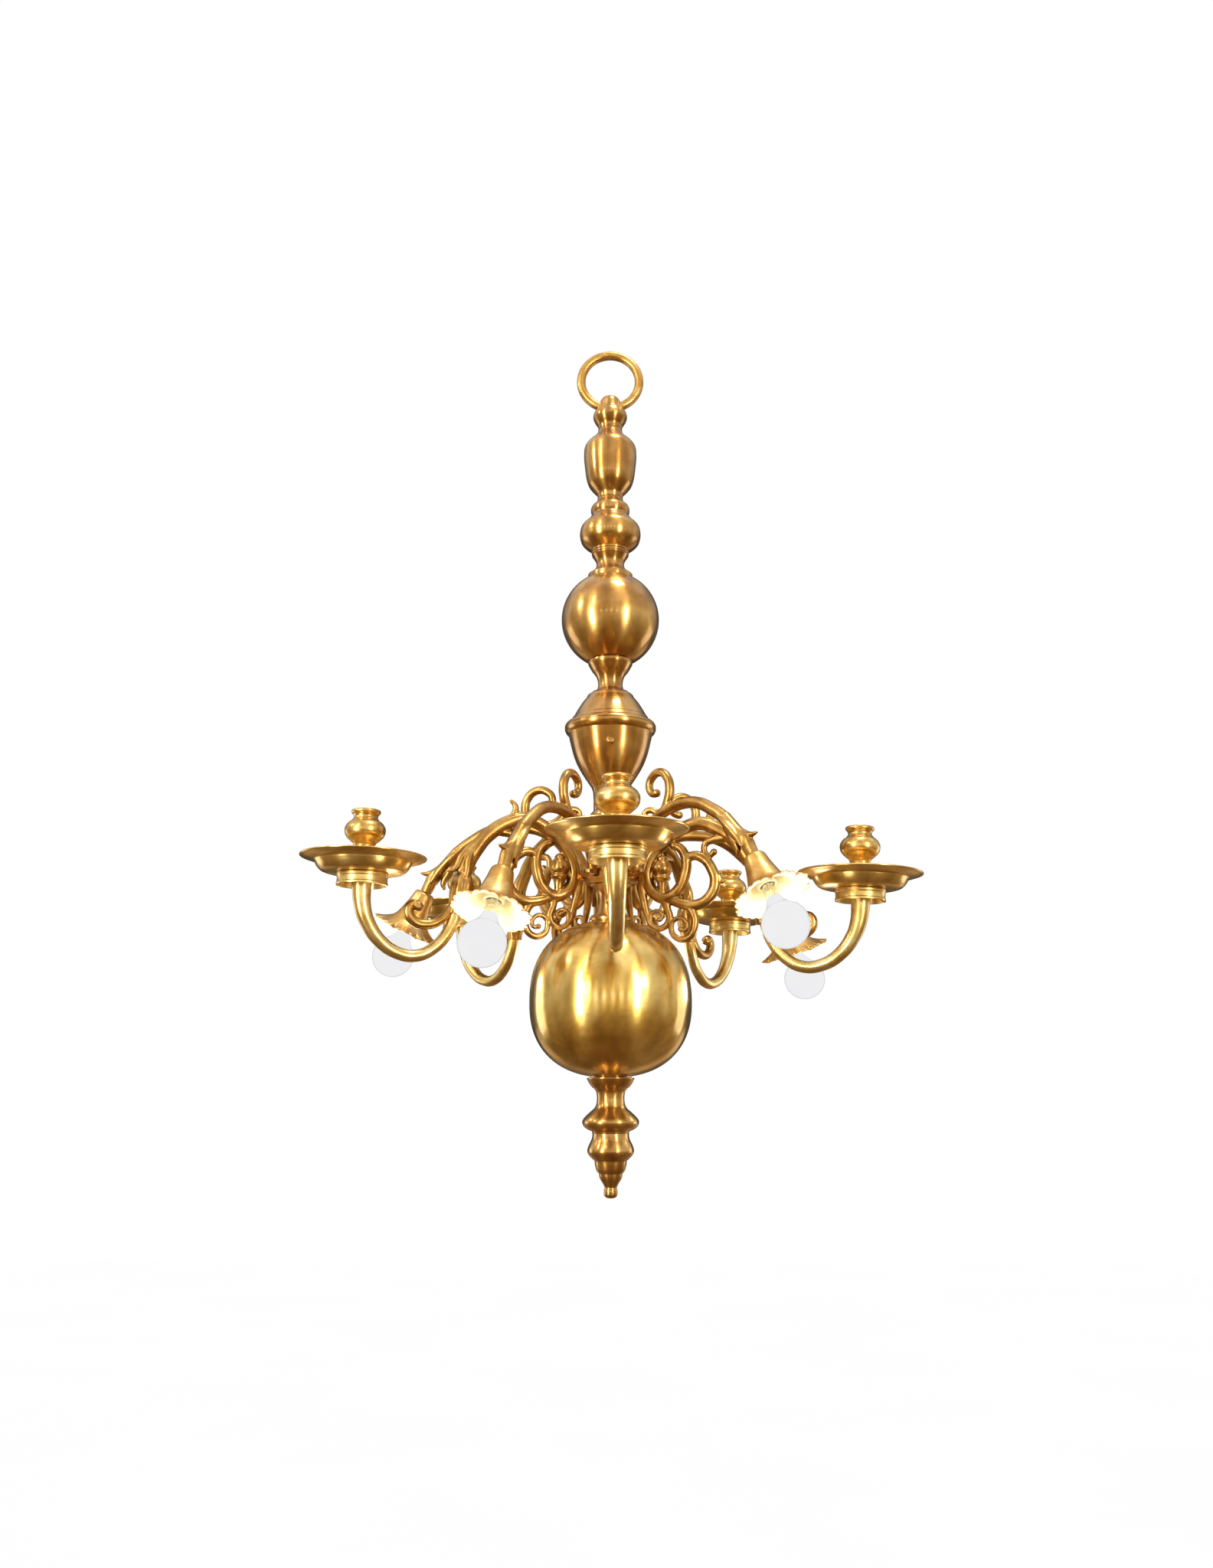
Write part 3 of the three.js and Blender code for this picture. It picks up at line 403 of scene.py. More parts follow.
def cast_tongue():
    """The tongue at an arm's root, which hooks into the slot plate."""
    clear_bench()
    bpy.ops.mesh.primitive_cube_add(size=1, location=(0.037, 0, -0.0019), scale=(0.028, 0.006, 0.005))
    tongue = bpy.context.object
    bpy.ops.object.transform_apply(location=True, rotation=True, scale=True)
    return tongue


# How finely a casting is melted together, in mm, and how many times it is filed over
CASTING_GRAIN = 0.72
FILINGS = 9


def cast_together(name, parts):
    """Joins strands and buds into one casting and melts their joints together."""
    clear_bench()
    for part in parts:
        part.select_set(True)
    bpy.context.view_layer.objects.active = parts[0]
    bpy.ops.object.join()
    casting = bpy.context.object
    casting.name = name
    melt = casting.modifiers.new("melt", "REMESH")
    melt.mode = "VOXEL"
    melt.voxel_size = CASTING_GRAIN * MM
    bpy.ops.object.modifier_apply(modifier=melt.name)
    relax = casting.modifiers.new("relax", "SMOOTH")
    relax.factor = 0.5
    relax.iterations = FILINGS
    bpy.ops.object.modifier_apply(modifier=relax.name)
    bpy.ops.object.shade_smooth()
    return casting


def ridge_round(piece, ribs, depth, lowest):
    """Presses upright ridges into the part of a turned piece above the height lowest."""
    for vertex in piece.data.vertices:
        x, y, z = vertex.co
        if z > lowest * MM:
            grow = 1 + depth * (abs(math.cos(ribs * math.atan2(y, x) / 2)) - 0.6)
            vertex.co = (x * grow, y * grow, z)
    piece.data.update()


def finish_piece(piece, material, nodes, body="chandelier"):
    """Gives a piece its material and says which node it stands for and which body it moves with."""
    piece.data.materials.clear()
    piece.data.materials.append(material)
    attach(piece, body)
    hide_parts(*nodes)


def copy_to(template, name, matrix):
    """A copy of a finished piece with its own mesh, its place in its mesh."""
    piece = template.copy()
    piece.data = template.data.copy()
    piece.name = name
    piece.data.name = name
    piece.data.transform(matrix)
    piece.data.update()
    scene.collection.objects.link(piece)
    return piece


# The suspension ring, and the eye that is cut out of the knob for it: a wider bar, so the ring can swing
RING_RADIUS = 0.034
RING_CENTRE = -0.0288
RING_BAR = 0.0051
EYE_CENTRE = -0.0300
EYE_BAR = 0.007


def upright_ring(height, bar_radius):
    """An upright ring with its centre at the height."""
    clear_bench()
    bpy.ops.mesh.primitive_torus_add(
        major_radius=RING_RADIUS, minor_radius=bar_radius, major_segments=96, minor_segments=24,
        location=(0, 0, height), rotation=(math.pi / 2, 0, 0))
    return bpy.context.object


# Suspension ring

ring = upright_ring(RING_CENTRE, RING_BAR)
ring.name = "ring_bar"
bpy.ops.object.transform_apply(location=True, rotation=True, scale=True)
bpy.ops.object.shade_smooth()
finish_piece(ring, satin_brass, ["suspension_ring"], "ring")

# Turned stem, from the top down

knob = turn_piece("knob_turned", [
    [0, -48], *eased([[3, -48.1], [8, -50], [11.4, -54.5], [12.5, -60], [13.4, -64]]),
    *eased([[15.6, -65.6], [18.4, -69.5], [19.7, -74], [19.2, -77.6], [17, -82.2], [14.4, -86.6],
            [13.8, -91.2]]),
    [0, -91.2]])
eye = upright_ring(EYE_CENTRE, EYE_BAR)
take(knob)
drill = knob.modifiers.new("eye", "BOOLEAN")
drill.operation = "DIFFERENCE"
drill.object = eye
bpy.ops.object.modifier_apply(modifier=drill.name)
bpy.ops.object.shade_smooth_by_angle(angle=math.radians(40))
bpy.data.objects.remove(eye, do_unlink=True)
finish_piece(knob, lacquered_brass, ["top_knob"])

upper_vase = turn_piece("upper_vase_turned", [
    [0, -90.9], [11, -90.9], [11, -91.5], [13.9, -91.5],
    *eased([[13.9, -91.9], [14.4, -95], [16.6, -98.8], [20.2, -102.8], [24.4, -106.6],
            [28.2, -111.4], [29.8, -115.4], [30.3, -121], [30.2, -129], [29.3, -138], [28.4, -146],
            [27.2, -153.4], [25, -160.4], [22, -165], [18.6, -169], [15.4, -172.4], [14.5, -176]]),
    [14.5, -178], [0, -178]])
finish_piece(upper_vase, lacquered_brass, ["upper_vase"])

mid_knop = turn_piece("mid_knop_turned", [
    [0, -177.6], [12, -177.6], [12, -178.3], [14.5, -178.3],
    *eased([[14.6, -179.4], [16.4, -183], [20.2, -186.8], [22, -190.6], [22, -194.6],
            [20.9, -198.4]]),
    *eased([[21.9, -200.6], [26.2, -206], [30.6, -210.2], [33.4, -214.4], [34.6, -220.6],
            [34.4, -225.4], [32.6, -231.8], [28.4, -236.4], [23.4, -239.8], [21, -241.2]]),
    [21.4, -242], [21.4, -243.4], [20.3, -243.9], [20.3, -244.5], [21.2, -245], [21.2, -246.4],
    [20.1, -246.9], [20.1, -247.5], [20.6, -248.2],
    *eased([[19.4, -249.6], [16.6, -254.6], [15.7, -258.6], [16.4, -262.8], [18.9, -266.4],
            [22.6, -269.6]]),
    [25.2, -271.4], [25.2, -276.7], [0, -276.7]])
finish_piece(mid_knop, lacquered_brass, ["mid_knop"])

BALL_CENTRE = -324.95
BALL_RADIUS = 54.7
BALL_TOP_ANGLE = 27.4
BALL_FOOT_ANGLE = 153.3
BALL_STEPS = 40

ball_curve = []
for i in range(BALL_STEPS + 1):
    angle = math.radians(BALL_TOP_ANGLE + i * (BALL_FOOT_ANGLE - BALL_TOP_ANGLE) / BALL_STEPS)
    ball_curve.append([BALL_RADIUS * math.sin(angle), BALL_CENTRE + BALL_RADIUS * math.cos(angle)])
upper_ball = turn_piece("upper_ball_spun", [
    [0, ball_curve[0][1]], *ball_curve, [0, ball_curve[-1][1]]], 96)
finish_piece(upper_ball, lacquered_brass, ["upper_ball"])

vase_cover = turn_piece("vase_cover_turned", [
    [0, -373.4], [22, -373.4], [22, -374.1], [24.6, -374.1], [24.6, -377.4],
    *eased([[23.4, -379.6], [20.4, -385], [16.8, -389.6], [14.6, -394.4], [13.6, -400.4],
            [14.2, -404.6], [15.8, -407.8], [19.4, -410]]),
    [20.6, -410.4], *eased([[21.6, -411.6], [25, -413.8], [26.2, -416.2]]),
    *eased([[27.2, -417.6], [31.4, -423], [35.4, -429.4], [38.6, -435], [41, -439.6]]),
    [41.8, -440], *eased([[42.8, -442], [44, -444.2]]),
    *eased([[45.2, -444.6], [48.4, -446.6], [50.1, -449.2]]), [50.2, -450], [0, -450]])
finish_piece(vase_cover, lacquered_brass, ["vase_cover"])

vase_body = turn_piece("vase_body_spun", [
    [0, -449.4], [46, -449.4], [46, -450.3], [50.2, -450.3],
    *eased([[50.2, -450.8], [50.1, -453.6], [48.6, -456.6], [45.9, -458.8]]),
    *eased([[45.7, -460.4], [44.6, -465.6], [42.6, -474], [40.4, -482], [37, -491], [32.9, -499],
            [28.4, -506.4], [23.8, -513.4], [20.4, -518.8], [18.9, -524]]),
    [18.4, -533], [18.4, -544.4], [0, -544.4]])
finish_piece(vase_body, lacquered_brass, ["vase_body"])

screw = turn_piece("vase_screw_turned", [
    [0, 2.7], *eased([[1.5, 2.6], [3.4, 2.2], [4.6, 0.9]]), [4.6, 0.3], [2.4, 0.3],
    [2.4, -7.6], [0, -7.6]], 32)
in_the_vase = Matrix.Translation((0, -0.0432, -0.4753)) @ Matrix.Rotation(math.pi / 2, 4, "X")
screw.data.transform(in_the_vase)
finish_piece(screw, cast_brass, ["vase_screw"])

spool = turn_piece("hub_spool_turned", [
    [0, -543.8], [16, -543.8], [16, -544.7], [18.4, -544.7],
    *eased([[19.6, -545.4], [21.8, -548.2], [22, -551.6], [20.4, -555.4]]),
    *eased([[19.6, -556.2], [15.4, -560], [13.5, -566], [13.2, -576], [13.8, -586], [16.2, -593.4],
            [20.4, -598.8]]),
    [21.4, -599.4], *eased([[22, -602], [22, -606.4], [21, -608.6]]), [26, -609.4],
    *eased([[31, -609.6], [32, -610.8], [32, -613.7]], 3), [0, -613.7]])
finish_piece(spool, lacquered_brass, ["hub_spool"])

hub_neck = turn_piece("hub_neck_turned", [
    [0, -624.6], [20, -624.6], [20, -625.4], [21.8, -625.4],
    *eased([[20.4, -627.2], [15.6, -631], [12.6, -637], [12.3, -643], [14, -651], [17.6, -657.4],
            [20.8, -660.4]]),
    [21.9, -661], [21.9, -663.6], [0, -663.6]])
finish_piece(hub_neck, lacquered_brass, ["hub_neck"])


BIG_BALL_MIDDLE = -748.66
BIG_BALL_RADIUS = 85.4
BIG_BALL_RISE = 84.7
BIG_BALL_DROP = 78.2
FULLNESS = 2.35


def full_curve(degrees):
    """A point on the big ball's outline, which is fuller than a circle, at an angle from its top."""
    angle = math.radians(degrees)
    power = 2 / FULLNESS
    half_height = BIG_BALL_RISE if degrees < 90 else BIG_BALL_DROP
    across = abs(math.sin(angle)) ** power
    along = math.copysign(abs(math.cos(angle)) ** power, math.cos(angle))
    return [BIG_BALL_RADIUS * across, BIG_BALL_MIDDLE + half_height * along]


big_curve = [full_curve(degrees) for degrees in range(12, 169, 3)]
big_ball = turn_piece("big_ball_spun", [
    [0, -663], [20, -663], [20, -663.9], *big_curve, [0, -826.6]], 112)
finish_piece(big_ball, yellow_brass, ["big_ball"])

pendant = turn_piece("pendant_turned", [
    [0, -825.9], [22, -825.9], [22, -826.9], [24.8, -826.9],
    *eased([[24.6, -828], [22.2, -832.8], [19, -836.8]]),
    *eased([[17.6, -837.4], [15.2, -841], [14.3, -846], [14.6, -852], [16.6, -857], [21.4, -861.4],
            [25.8, -865.4], [28.8, -869.2], [29.3, -872.4], [27.4, -876.2], [23.2, -879.2]]),
    [19.4, -880.6], [19.3, -882.1], [0, -882.1]])
finish_piece(pendant, lacquered_brass, ["pendant"])

finial = turn_piece("finial_turned", [
    [0, -881.6], [17, -881.6], [17, -882.4], [19, -882.4],
    *eased([[18.8, -884.6], [19.8, -888.8], [22.4, -894], [23.8, -898], [23.9, -901.2],
            [22.2, -904.6], [17.6, -909]]),
    [16.6, -909.8], *eased([[16.4, -912.8], [15, -918.6], [12.8, -921.8]]), [12, -922.4],
    *eased([[11.9, -925], [10.6, -928.4], [8, -932.4], [6.7, -935]]),
    *eased([[6.3, -936], [7, -940], [6.6, -944], [4, -946.2], [0.4, -946.7]]), [0, -946.7]])
finish_piece(finial, lacquered_brass, ["finial"])

# Candle arm ends, modelled at the stem and carried out to each arm. REACH is from stem to candle.

REACH = 265

pan = turn_piece("drip_pan_spun", [
    [0, -15.3], [34.8, -15.3],
    *eased([[36, -15.2], [39, -13.4], [42.6, -9.6], [45.8, -5.2], [47.6, -3.9]]),
    *eased([[48.6, -3.7], [54, -2.6], [59.4, -0.9], [61.8, 0.3]]),
    *eased([[62.5, 0.7], [63.3, 0.3], [63.3, -0.7], [62.4, -1.3]], 3),
    *eased([[61, -1.6], [55, -3.7], [49.6, -4.9]]),
    *eased([[48.8, -5.4], [48, -7.4], [45.6, -11.4], [42, -14.8], [37.4, -16.4]]), [36.6, -16.5],
    [0, -16.5]], 96)

collar = turn_piece("pan_collar_turned", [
    [0, -16.8], [25.7, -16.8], [25.7, -20.2], [25.2, -20.8], [25.2, -26.2], [25.7, -26.8],
    [25.7, -29.2], [24.1, -29.2], [24.1, -18.4], [0, -18.4]], 80)

cup = turn_piece("candle_cup_turned", [
    [0, 24], [10.3, 24], [10.3, 47.2], [11, 48], [13.6, 48],
    *eased([[14.3, 47.6], [14.8, 46.2], [14.4, 44.6], [13, 43.4]], 3),
    *eased([[12.6, 42.8], [12.1, 40.8], [12.8, 38.6], [15.4, 35.8]]), [16.4, 35.4],
    *eased([[18.2, 33.6], [20.2, 30], [20.6, 26.6], [19.8, 22.6], [17.2, 18.8], [14, 16]]),
    [13.2, 15.2], [12.2, 14.8], *eased([[10.6, 12], [9.9, 7.4], [9.9, 3], [10.6, -2]]), [11.8, -3],
    *eased([[12.8, -4], [13, -6], [12.4, -7.4]]), *eased([[13.6, -9], [14.8, -12], [14.9, -15]]),
    [0, -15]], 72)

# Candle arm: a bright tube down from the collar, and the scrolls cast round its other end

leg = draw_strand("arm_leg_drawn", [
    [REACH, -18.8], [REACH, -34], [REACH - 2, -50], [REACH - 7, -64], [REACH - 21, -83],
    [REACH - 39, -94], [REACH - 58, -96], [REACH - 75, -88], [REACH - 90, -70], [REACH - 98, -48],
    [REACH - 101, -28]],
    [10.4, 9.5, 8.5, 7.7, 6.9, 6.4, 6.2, 6.1, 6.1, 6.1, 6.1])
take(leg)
bpy.ops.object.shade_smooth_by_angle(angle=CREASE_ANGLE)

scroll_parts = [
    draw_strand("inner_scroll",
                [[REACH - 100, -34], [REACH - 103, -20], [REACH - 106, -4], [REACH - 118, 20],
                 [136, 34], [112, 50], [97, 54], [84, 51], [70, 43], [53, 27], [43, 9], [42, -8],
                 [50, -21], [62, -26], [74, -19], [82, -2], [83, 15], [77, 27], [68, 31]],
                [7.0, 7.6, 7.6, 7.0, 6.6, 6.3, 5.8, 4.4], 0.95, True),
    draw_strand("outer_loop",
                [[82, 12], [90, 19], [102, 16], [111, 5], [115, -9], [109, -25], [96, -33],
                 [80, -32], [66, -27]],
                [4.6, 5.4, 5.9, 5.8, 5.2], 0.95),
    draw_strand("under_hook", [[124, 38], [112, 36], [104, 32], [103, 24], [108, 19], [113, 23]],
                [4.8, 4.0, 3.4, 3.0, 3.2]),
    draw_strand("leg_hook",
                [[REACH - 100, -36], [174, -47], [184, -59], [197, -64], [211, -61], [217, -51],
                 [213, -44], [207, -44]],
                [4.4, 4.6, 5, 5.2, 5.2, 4.8, 4.2]),
    draw_strand("lower_curl",
                [[84, -32], [92, -42], [94, -56], [87, -68], [75, -68], [69, -58], [74, -48],
                 [84, -50], [85, -59], [79, -60]],
                [4.6, 4.0, 3.4, 2.8, 2.3, 2.0]),
    draw_strand("inner_curl",
                [[62, -26], [64, -37], [67, -47], [61, -57], [50, -57], [46, -47], [52, -40],
                 [59, -44], [57, -50]],
                [4.6, 4.0, 3.4, 2.8, 2.3, 2.0]),
    draw_strand("upper_curl", [[76, 47], [62, 54], [52, 64], [44, 69], [37, 66], [37, 60]],
                [4.4, 4.0, 3.7, 3.3, 3.0]),
    draw_strand("spur", [[116, 46], [109, 58], [108, 66], [114, 73]], [4.6, 4.0, 3.2, 1.8]),
    draw_strand("tail", [[42, 4], [36, -10], [39, -30], [46, -55]], [5.0, 4.6, 4.2, 2.6]),
    *leaf_pair([[150, 2, 24], [158, 5.6, 4], [161, 6.6, -14], [170, 7, -26]], [2.4, 3.8, 3.4, 1.4]),
    draw_strand("outer_leaf", [[152, 24], [164, 8], [170, -4], [179, -8]], [3.0, 4.4, 3.6, 1.3]),
    draw_strand("loop_leaf", [[118, -2], [122, -8], [126, -6]], [3.6, 2.6, 1.6]),
    bead_at(70, 30, 4.8), bead_at(113, 23, 3.8), bead_at(207, -46, 5.4), bead_at(79, -59, 2.9),
    bead_at(56, -49, 2.8), bead_at(37.5, 60, 3.8)]
bud = turn_piece("bud", [
    [0, 20],
    *eased([[2, 19.6], [4.6, 17], [5, 14], [7.6, 11.4], [9.8, 6.4], [9.6, 1.6], [7.2, -2.6]]),
    *eased([[8.6, -3.6], [9.2, -5], [8.4, -6.4]], 3),
    *eased([[6.4, -8], [5.2, -12], [4.4, -18], [3.6, -23]]), [0, -23]], 60, 0)
ridge_round(bud, 5, 0.12, 2)
bud.data.transform(Matrix.Translation((0.058, 0, 0)))
husk = turn_piece("husk", [
    [0, 30],
    *eased([[1.6, 26], [4.4, 20], [9.4, 12], [11.6, 3], [10.8, -9], [8.2, -22], [8.6, -27]]),
    [0, -27]], 72, 0)
ridge_round(husk, 6, 0.16, -60)
over_the_leg = Matrix.Translation(((REACH - 102) * MM, 0, -0.026)) @ Matrix.Rotation(-0.16, 4, "Y")
husk.data.transform(over_the_leg)
scrolls = cast_together("arm_scrolls_cast", [*scroll_parts, bud, husk, cast_tongue()])

# Lamp arm ends, modelled with Z running down the bell

bell_outline = [
    [0, 0.4], [8.6, 0.4],
    *eased([[9.8, 0.9], [11.0, 2.6], [11.8, 6], [13, 13], [14.8, 20], [16.6, 26.6], [18.4, 32],
            [21.4, 36.4], [26.6, 40.2], [32, 43.2], [36, 45.2]]),
    *eased([[36.8, 45.8], [37.2, 46.8], [36.4, 47.4], [35, 46.8]], 3),
    *eased([[31, 44.8], [25.8, 41.8], [20.4, 38], [17, 32.8], [15.2, 26.6], [13.6, 20], [11.8, 13],
            [10.9, 6], [10.6, 2.2]]),
    [10.2, 1.6], [0, 1.6]]
bell = turn_piece("bell_spun", bell_outline, 192, 0.15)
# The rim is chased into eight petals of three small scallops each. The wave grows out from the waist.
PETALS = 8
SCALLOPS = 24
WAIST_HEIGHT = 0.030
WAIST_RADIUS = 19
FLARE_WIDTH = 17
PETAL_DEPTH = 0.08
SCALLOP_DEPTH = 0.055
RIM_DIP = 0.0016
for vertex in bell.data.vertices:
    x, y, z = vertex.co
    r = math.hypot(x, y)
    share = max(0.0, min(1.1, (r / MM - WAIST_RADIUS) / FLARE_WIDTH)) if z > WAIST_HEIGHT else 0.0
    turn = math.atan2(y, x)
    petal = abs(math.sin(PETALS / 2 * turn)) ** 0.6
    scallop = abs(math.sin(SCALLOPS / 2 * turn)) ** 0.6
    grow = 1 + share ** 4 * (PETAL_DEPTH * (petal - 0.7) + SCALLOP_DEPTH * (scallop - 0.8))
    vertex.co = (x * grow, y * grow, z - share ** 3 * RIM_DIP * (petal - 0.5))
bell.data.update()
# The mouth side of the wall is left unpolished and painted pale as the bulb's glow: its inner wall, and the
# front of its flare.
FLARE_HEIGHT = 0.034
mouth_side = []
for face in bell.data.polygons:
    x, y, z = face.center
    nx, ny, nz = face.normal
    if z > 0.001 and (nx * x + ny * y < 0 or (nz > 0.3 and z > FLARE_HEIGHT)):
        mouth_side.append(face.index)

holder = turn_piece("lampholder_glazed", [
    [0, 1.9], [9.2, 1.9], *eased([[9.8, 2.4], [10, 4], [10, 14]]), [10, 20], [9.4, 21], [9.4, 24],
    [10, 25], [10, 35], [9.6, 35.6], [7.3, 35.6], [7.3, 26], [0, 26]], 40)

GLOBE_CENTRE = 78.7
GLOBE_RADIUS = 22.6
globe_curve = []
for degrees in range(42, 180, 6):
    angle = math.radians(degrees)
    globe_curve.append([GLOBE_RADIUS * math.sin(angle), GLOBE_CENTRE - GLOBE_RADIUS * math.cos(angle)])
globe = turn_piece("bulb_globe_blown", [
    [0, 49.3], [7.4, 49.3], *eased([[7.6, 50.2], [9.4, 54.6], [12.8, 60]]), *globe_curve,
    [0, 101.3]], 64, 0)

tube_parts = [
    draw_strand("arch",
                [[40, -4], [41, 8], [50, 26], [64, 41], [80, 50], [98, 54], [118, 55], [138, 51],
                 [158, 40], [176, 26], [190, 10], [202.2, -1.8], [207, -11.7], [209.9, -17.8]],
                [5.2, 5.4, 5.8, 6.2, 6.6, 7.0, 6.4], 0.96),
    draw_strand("back_curl",
                [[88, 51], [95, 62], [99, 75], [96, 88], [86, 96], [74, 94], [68, 86], [71, 77],
                 [78, 74]],
                [5.4, 5.0, 4.7, 4.4, 4.2, 3.8]),
    draw_strand("thorn", [[186, 14], [199, 6], [209, 3], [218, 4]], [5.6, 4.6, 3.0, 1.0]),
    draw_strand("inner_leaf", [[176, 22], [184, 4], [190, -8], [188, -15]], [4.6, 4.8, 3.4, 1.4]),
    *leaf_pair([[166, 3, 33], [183, 5.4, 17], [195, 6, 3], [202, 8, -8]], [2.6, 4, 3.6, 1.2]),
    bead_at(78.5, 75, 4.4), bead_at(176, 27, 6.4)]
lamp_tube = cast_together("lamp_arm_cast", [*tube_parts, cast_tongue()])
bpy.data.objects.remove(strand_section, do_unlink=True)

# Where the arms stand: turn about the stem and tip, in degrees

CANDLE_ARMS = [(1.1, -0.1), (75.5, -2.1), (145.8, -2.3), (222.4, -1.7), (290.5, 1.0)]
LAMP_ARMS = [(39.6, 3.7), (111.7, -4.3), (183.8, 0.0), (256.0, 2.1), (331.1, -1.5)]
PIVOT = Vector((0.040, 0, 0.0265))
SLOT_PLATE_HEIGHT = -0.6144


def arm_matrix(turn, tip):
    """An arm's plane, turned about the stem and tipped about its tongue."""
    swing = Matrix.Rotation(math.radians(turn - 90), 4, "Z")
    tipped = Matrix.Rotation(-math.radians(tip), 4, "Y")
    lean = Matrix.Translation(PIVOT) @ tipped @ Matrix.Translation(-PIVOT)
    return Matrix.Translation((0, 0, SLOT_PLATE_HEIGHT)) @ swing @ lean


out_to_cup = Matrix.Translation((REACH * MM, 0, 0))
for i, (turn, tip) in enumerate(CANDLE_ARMS, 1):
    arm = arm_matrix(turn, tip)
    arm_scrolls = copy_to(scrolls, f"candle_arm_scrolls_{i}", arm)
    finish_piece(arm_scrolls, cast_brass, [f"candle_arm_{i}"])
    arm_leg = copy_to(leg, f"candle_arm_leg_{i}", arm)
    finish_piece(arm_leg, tube_brass, [f"candle_arm_{i}"])
    end = arm @ out_to_cup
    arm_collar = copy_to(collar, f"pan_collar_{i}", end)
    finish_piece(arm_collar, tube_brass, [f"candle_collar_{i}"])
    arm_pan = copy_to(pan, f"drip_pan_dish_{i}", end)
    finish_piece(arm_pan, spun_brass, [f"drip_pan_{i}"])
    arm_cup = copy_to(cup, f"candle_cup_urn_{i}", end)
    finish_piece(arm_cup, cup_brass, [f"candle_cup_{i}"])

# The bells hang outwards. A round lamp, just wider than its glass, stands for each bulb's light and
# moves with the bulb.

BELL_TILT = math.radians(25.6)
BULB_POWER = 0.22
BULB_COLOUR = (1.0, 0.97, 0.88)
BULB_LAMP_RADIUS = 0.0236
down_the_bell = Matrix.Translation((0.210, 0, -0.018)) @ Matrix.Rotation(math.pi - BELL_TILT, 4, "Y")
for i, (turn, tip) in enumerate(LAMP_ARMS, 1):
    arm = arm_matrix(turn, tip)
    tube = copy_to(lamp_tube, f"lamp_arm_tube_{i}", arm)
    finish_piece(tube, cast_brass, [f"lamp_arm_{i}"])
    end = arm @ down_the_bell
    flower = copy_to(bell, f"lamp_bell_flower_{i}", end)
    finish_piece(flower, satin_brass, [f"lamp_bell_{i}"])
    # The mouth side takes the pale inside finish, whose cream colour is a painted glow of the bulb
    flower.data.materials.append(glow_painted_bell_brass)
    for index in mouth_side:
        flower.data.polygons[index].material_index = 1
    sleeve = copy_to(holder, f"lampholder_sleeve_{i}", end)
    finish_piece(sleeve, porcelain, [f"lampholder_{i}"])
    glass = copy_to(globe, f"bulb_globe_{i}", end)
    finish_piece(glass, frosted_glass, [f"bulb_glass_{i}"], f"bulb_glass_{i}")
    lamp = bpy.data.lights.new(f"lit_bulb_{i}", "POINT")
    lamp.energy = BULB_POWER
    lamp.color = BULB_COLOUR
    lamp.use_soft_falloff = False
    lamp.shadow_soft_size = BULB_LAMP_RADIUS
    lit = bpy.data.objects.new(f"lit_bulb_{i}", lamp)
    lit.location = end @ Vector((0, 0, GLOBE_CENTRE * MM))
    lit.visible_camera = False
    scene.collection.objects.link(lit)
    lit.parent = glass
    lit.matrix_parent_inverse = glass.matrix_world.inverted()

for template in (pan, collar, cup, leg, scrolls, bell, holder, globe, lamp_tube):
    bpy.data.objects.remove(template, do_unlink=True)

# Finishes of the hidden pieces that stay as the frame has them

def refinish(name, material):
    """Gives a piece of the frame its finish."""
    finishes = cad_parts[name].data.materials
    finishes.clear()
    finishes.append(material)


refinish("arm_slot_plate", lacquered_brass)
refinish("tie_rod", steel)
for i in range(1, 6):
    refinish(f"bulb_cap_{i}", cap_metal)

# Floor, plain and pale

DUST_WIDTH = 2000 / 3
floor_paint, tree, output, place = new_material("pale_floor_paint")
dust = add_node(tree, "ShaderNodeTexNoise", None, {
    "Vector": place, "Scale": 1000 / DUST_WIDTH, "Detail": 2.0})
paint = add_node(tree, "ShaderNodeValToRGB", None, {"Fac": dust.outputs["Fac"]})
set_ramp(paint, [[0.3, "#FEFEFE"], [0.7, "#FFFFFF"]])
shader = add_node(tree, "ShaderNodeEmission", None, {"Color": paint.outputs["Color"], "Strength": 1.0})
tree.links.new(shader.outputs["Emission"], output.inputs["Surface"])
clear_bench()
bpy.ops.mesh.primitive_plane_add(size=14, location=(0, 0, -1.9))
floor = bpy.context.object
floor.name = "floor"
floor.data.materials.append(floor_paint)
floor.visible_glossy = False
floor.visible_diffuse = False

# Studio: white to the camera; the brass sees a dim warm room with a bright side in front

world = bpy.data.worlds.new("studio")
scene.world = world
world.use_nodes = True
tree = world.node_tree
tree.nodes.clear()
output = add_node(tree, "ShaderNodeOutputWorld")
way = add_node(tree, "ShaderNodeTexCoord").outputs["Generated"]
apart = add_node(tree, "ShaderNodeSeparateXYZ", None, {"Vector": way})
height = add_node(tree, "ShaderNodeMapRange", None, {
    "Value": apart.outputs["Z"], "From Min": -1.0, "From Max": 1.0, "To Min": 0.0, "To Max": 1.0})
sky = add_node(tree, "ShaderNodeValToRGB", None, {"Fac": height.outputs["Result"]})
set_ramp(sky, [[0.0, "#7A5E40"], [0.30, "#8C7455"], [0.47, "#B4A88F"], [0.56, "#D4CEBF"],
               [0.72, "#EDEAE0"], [1.0, "#FFFFFF"]])
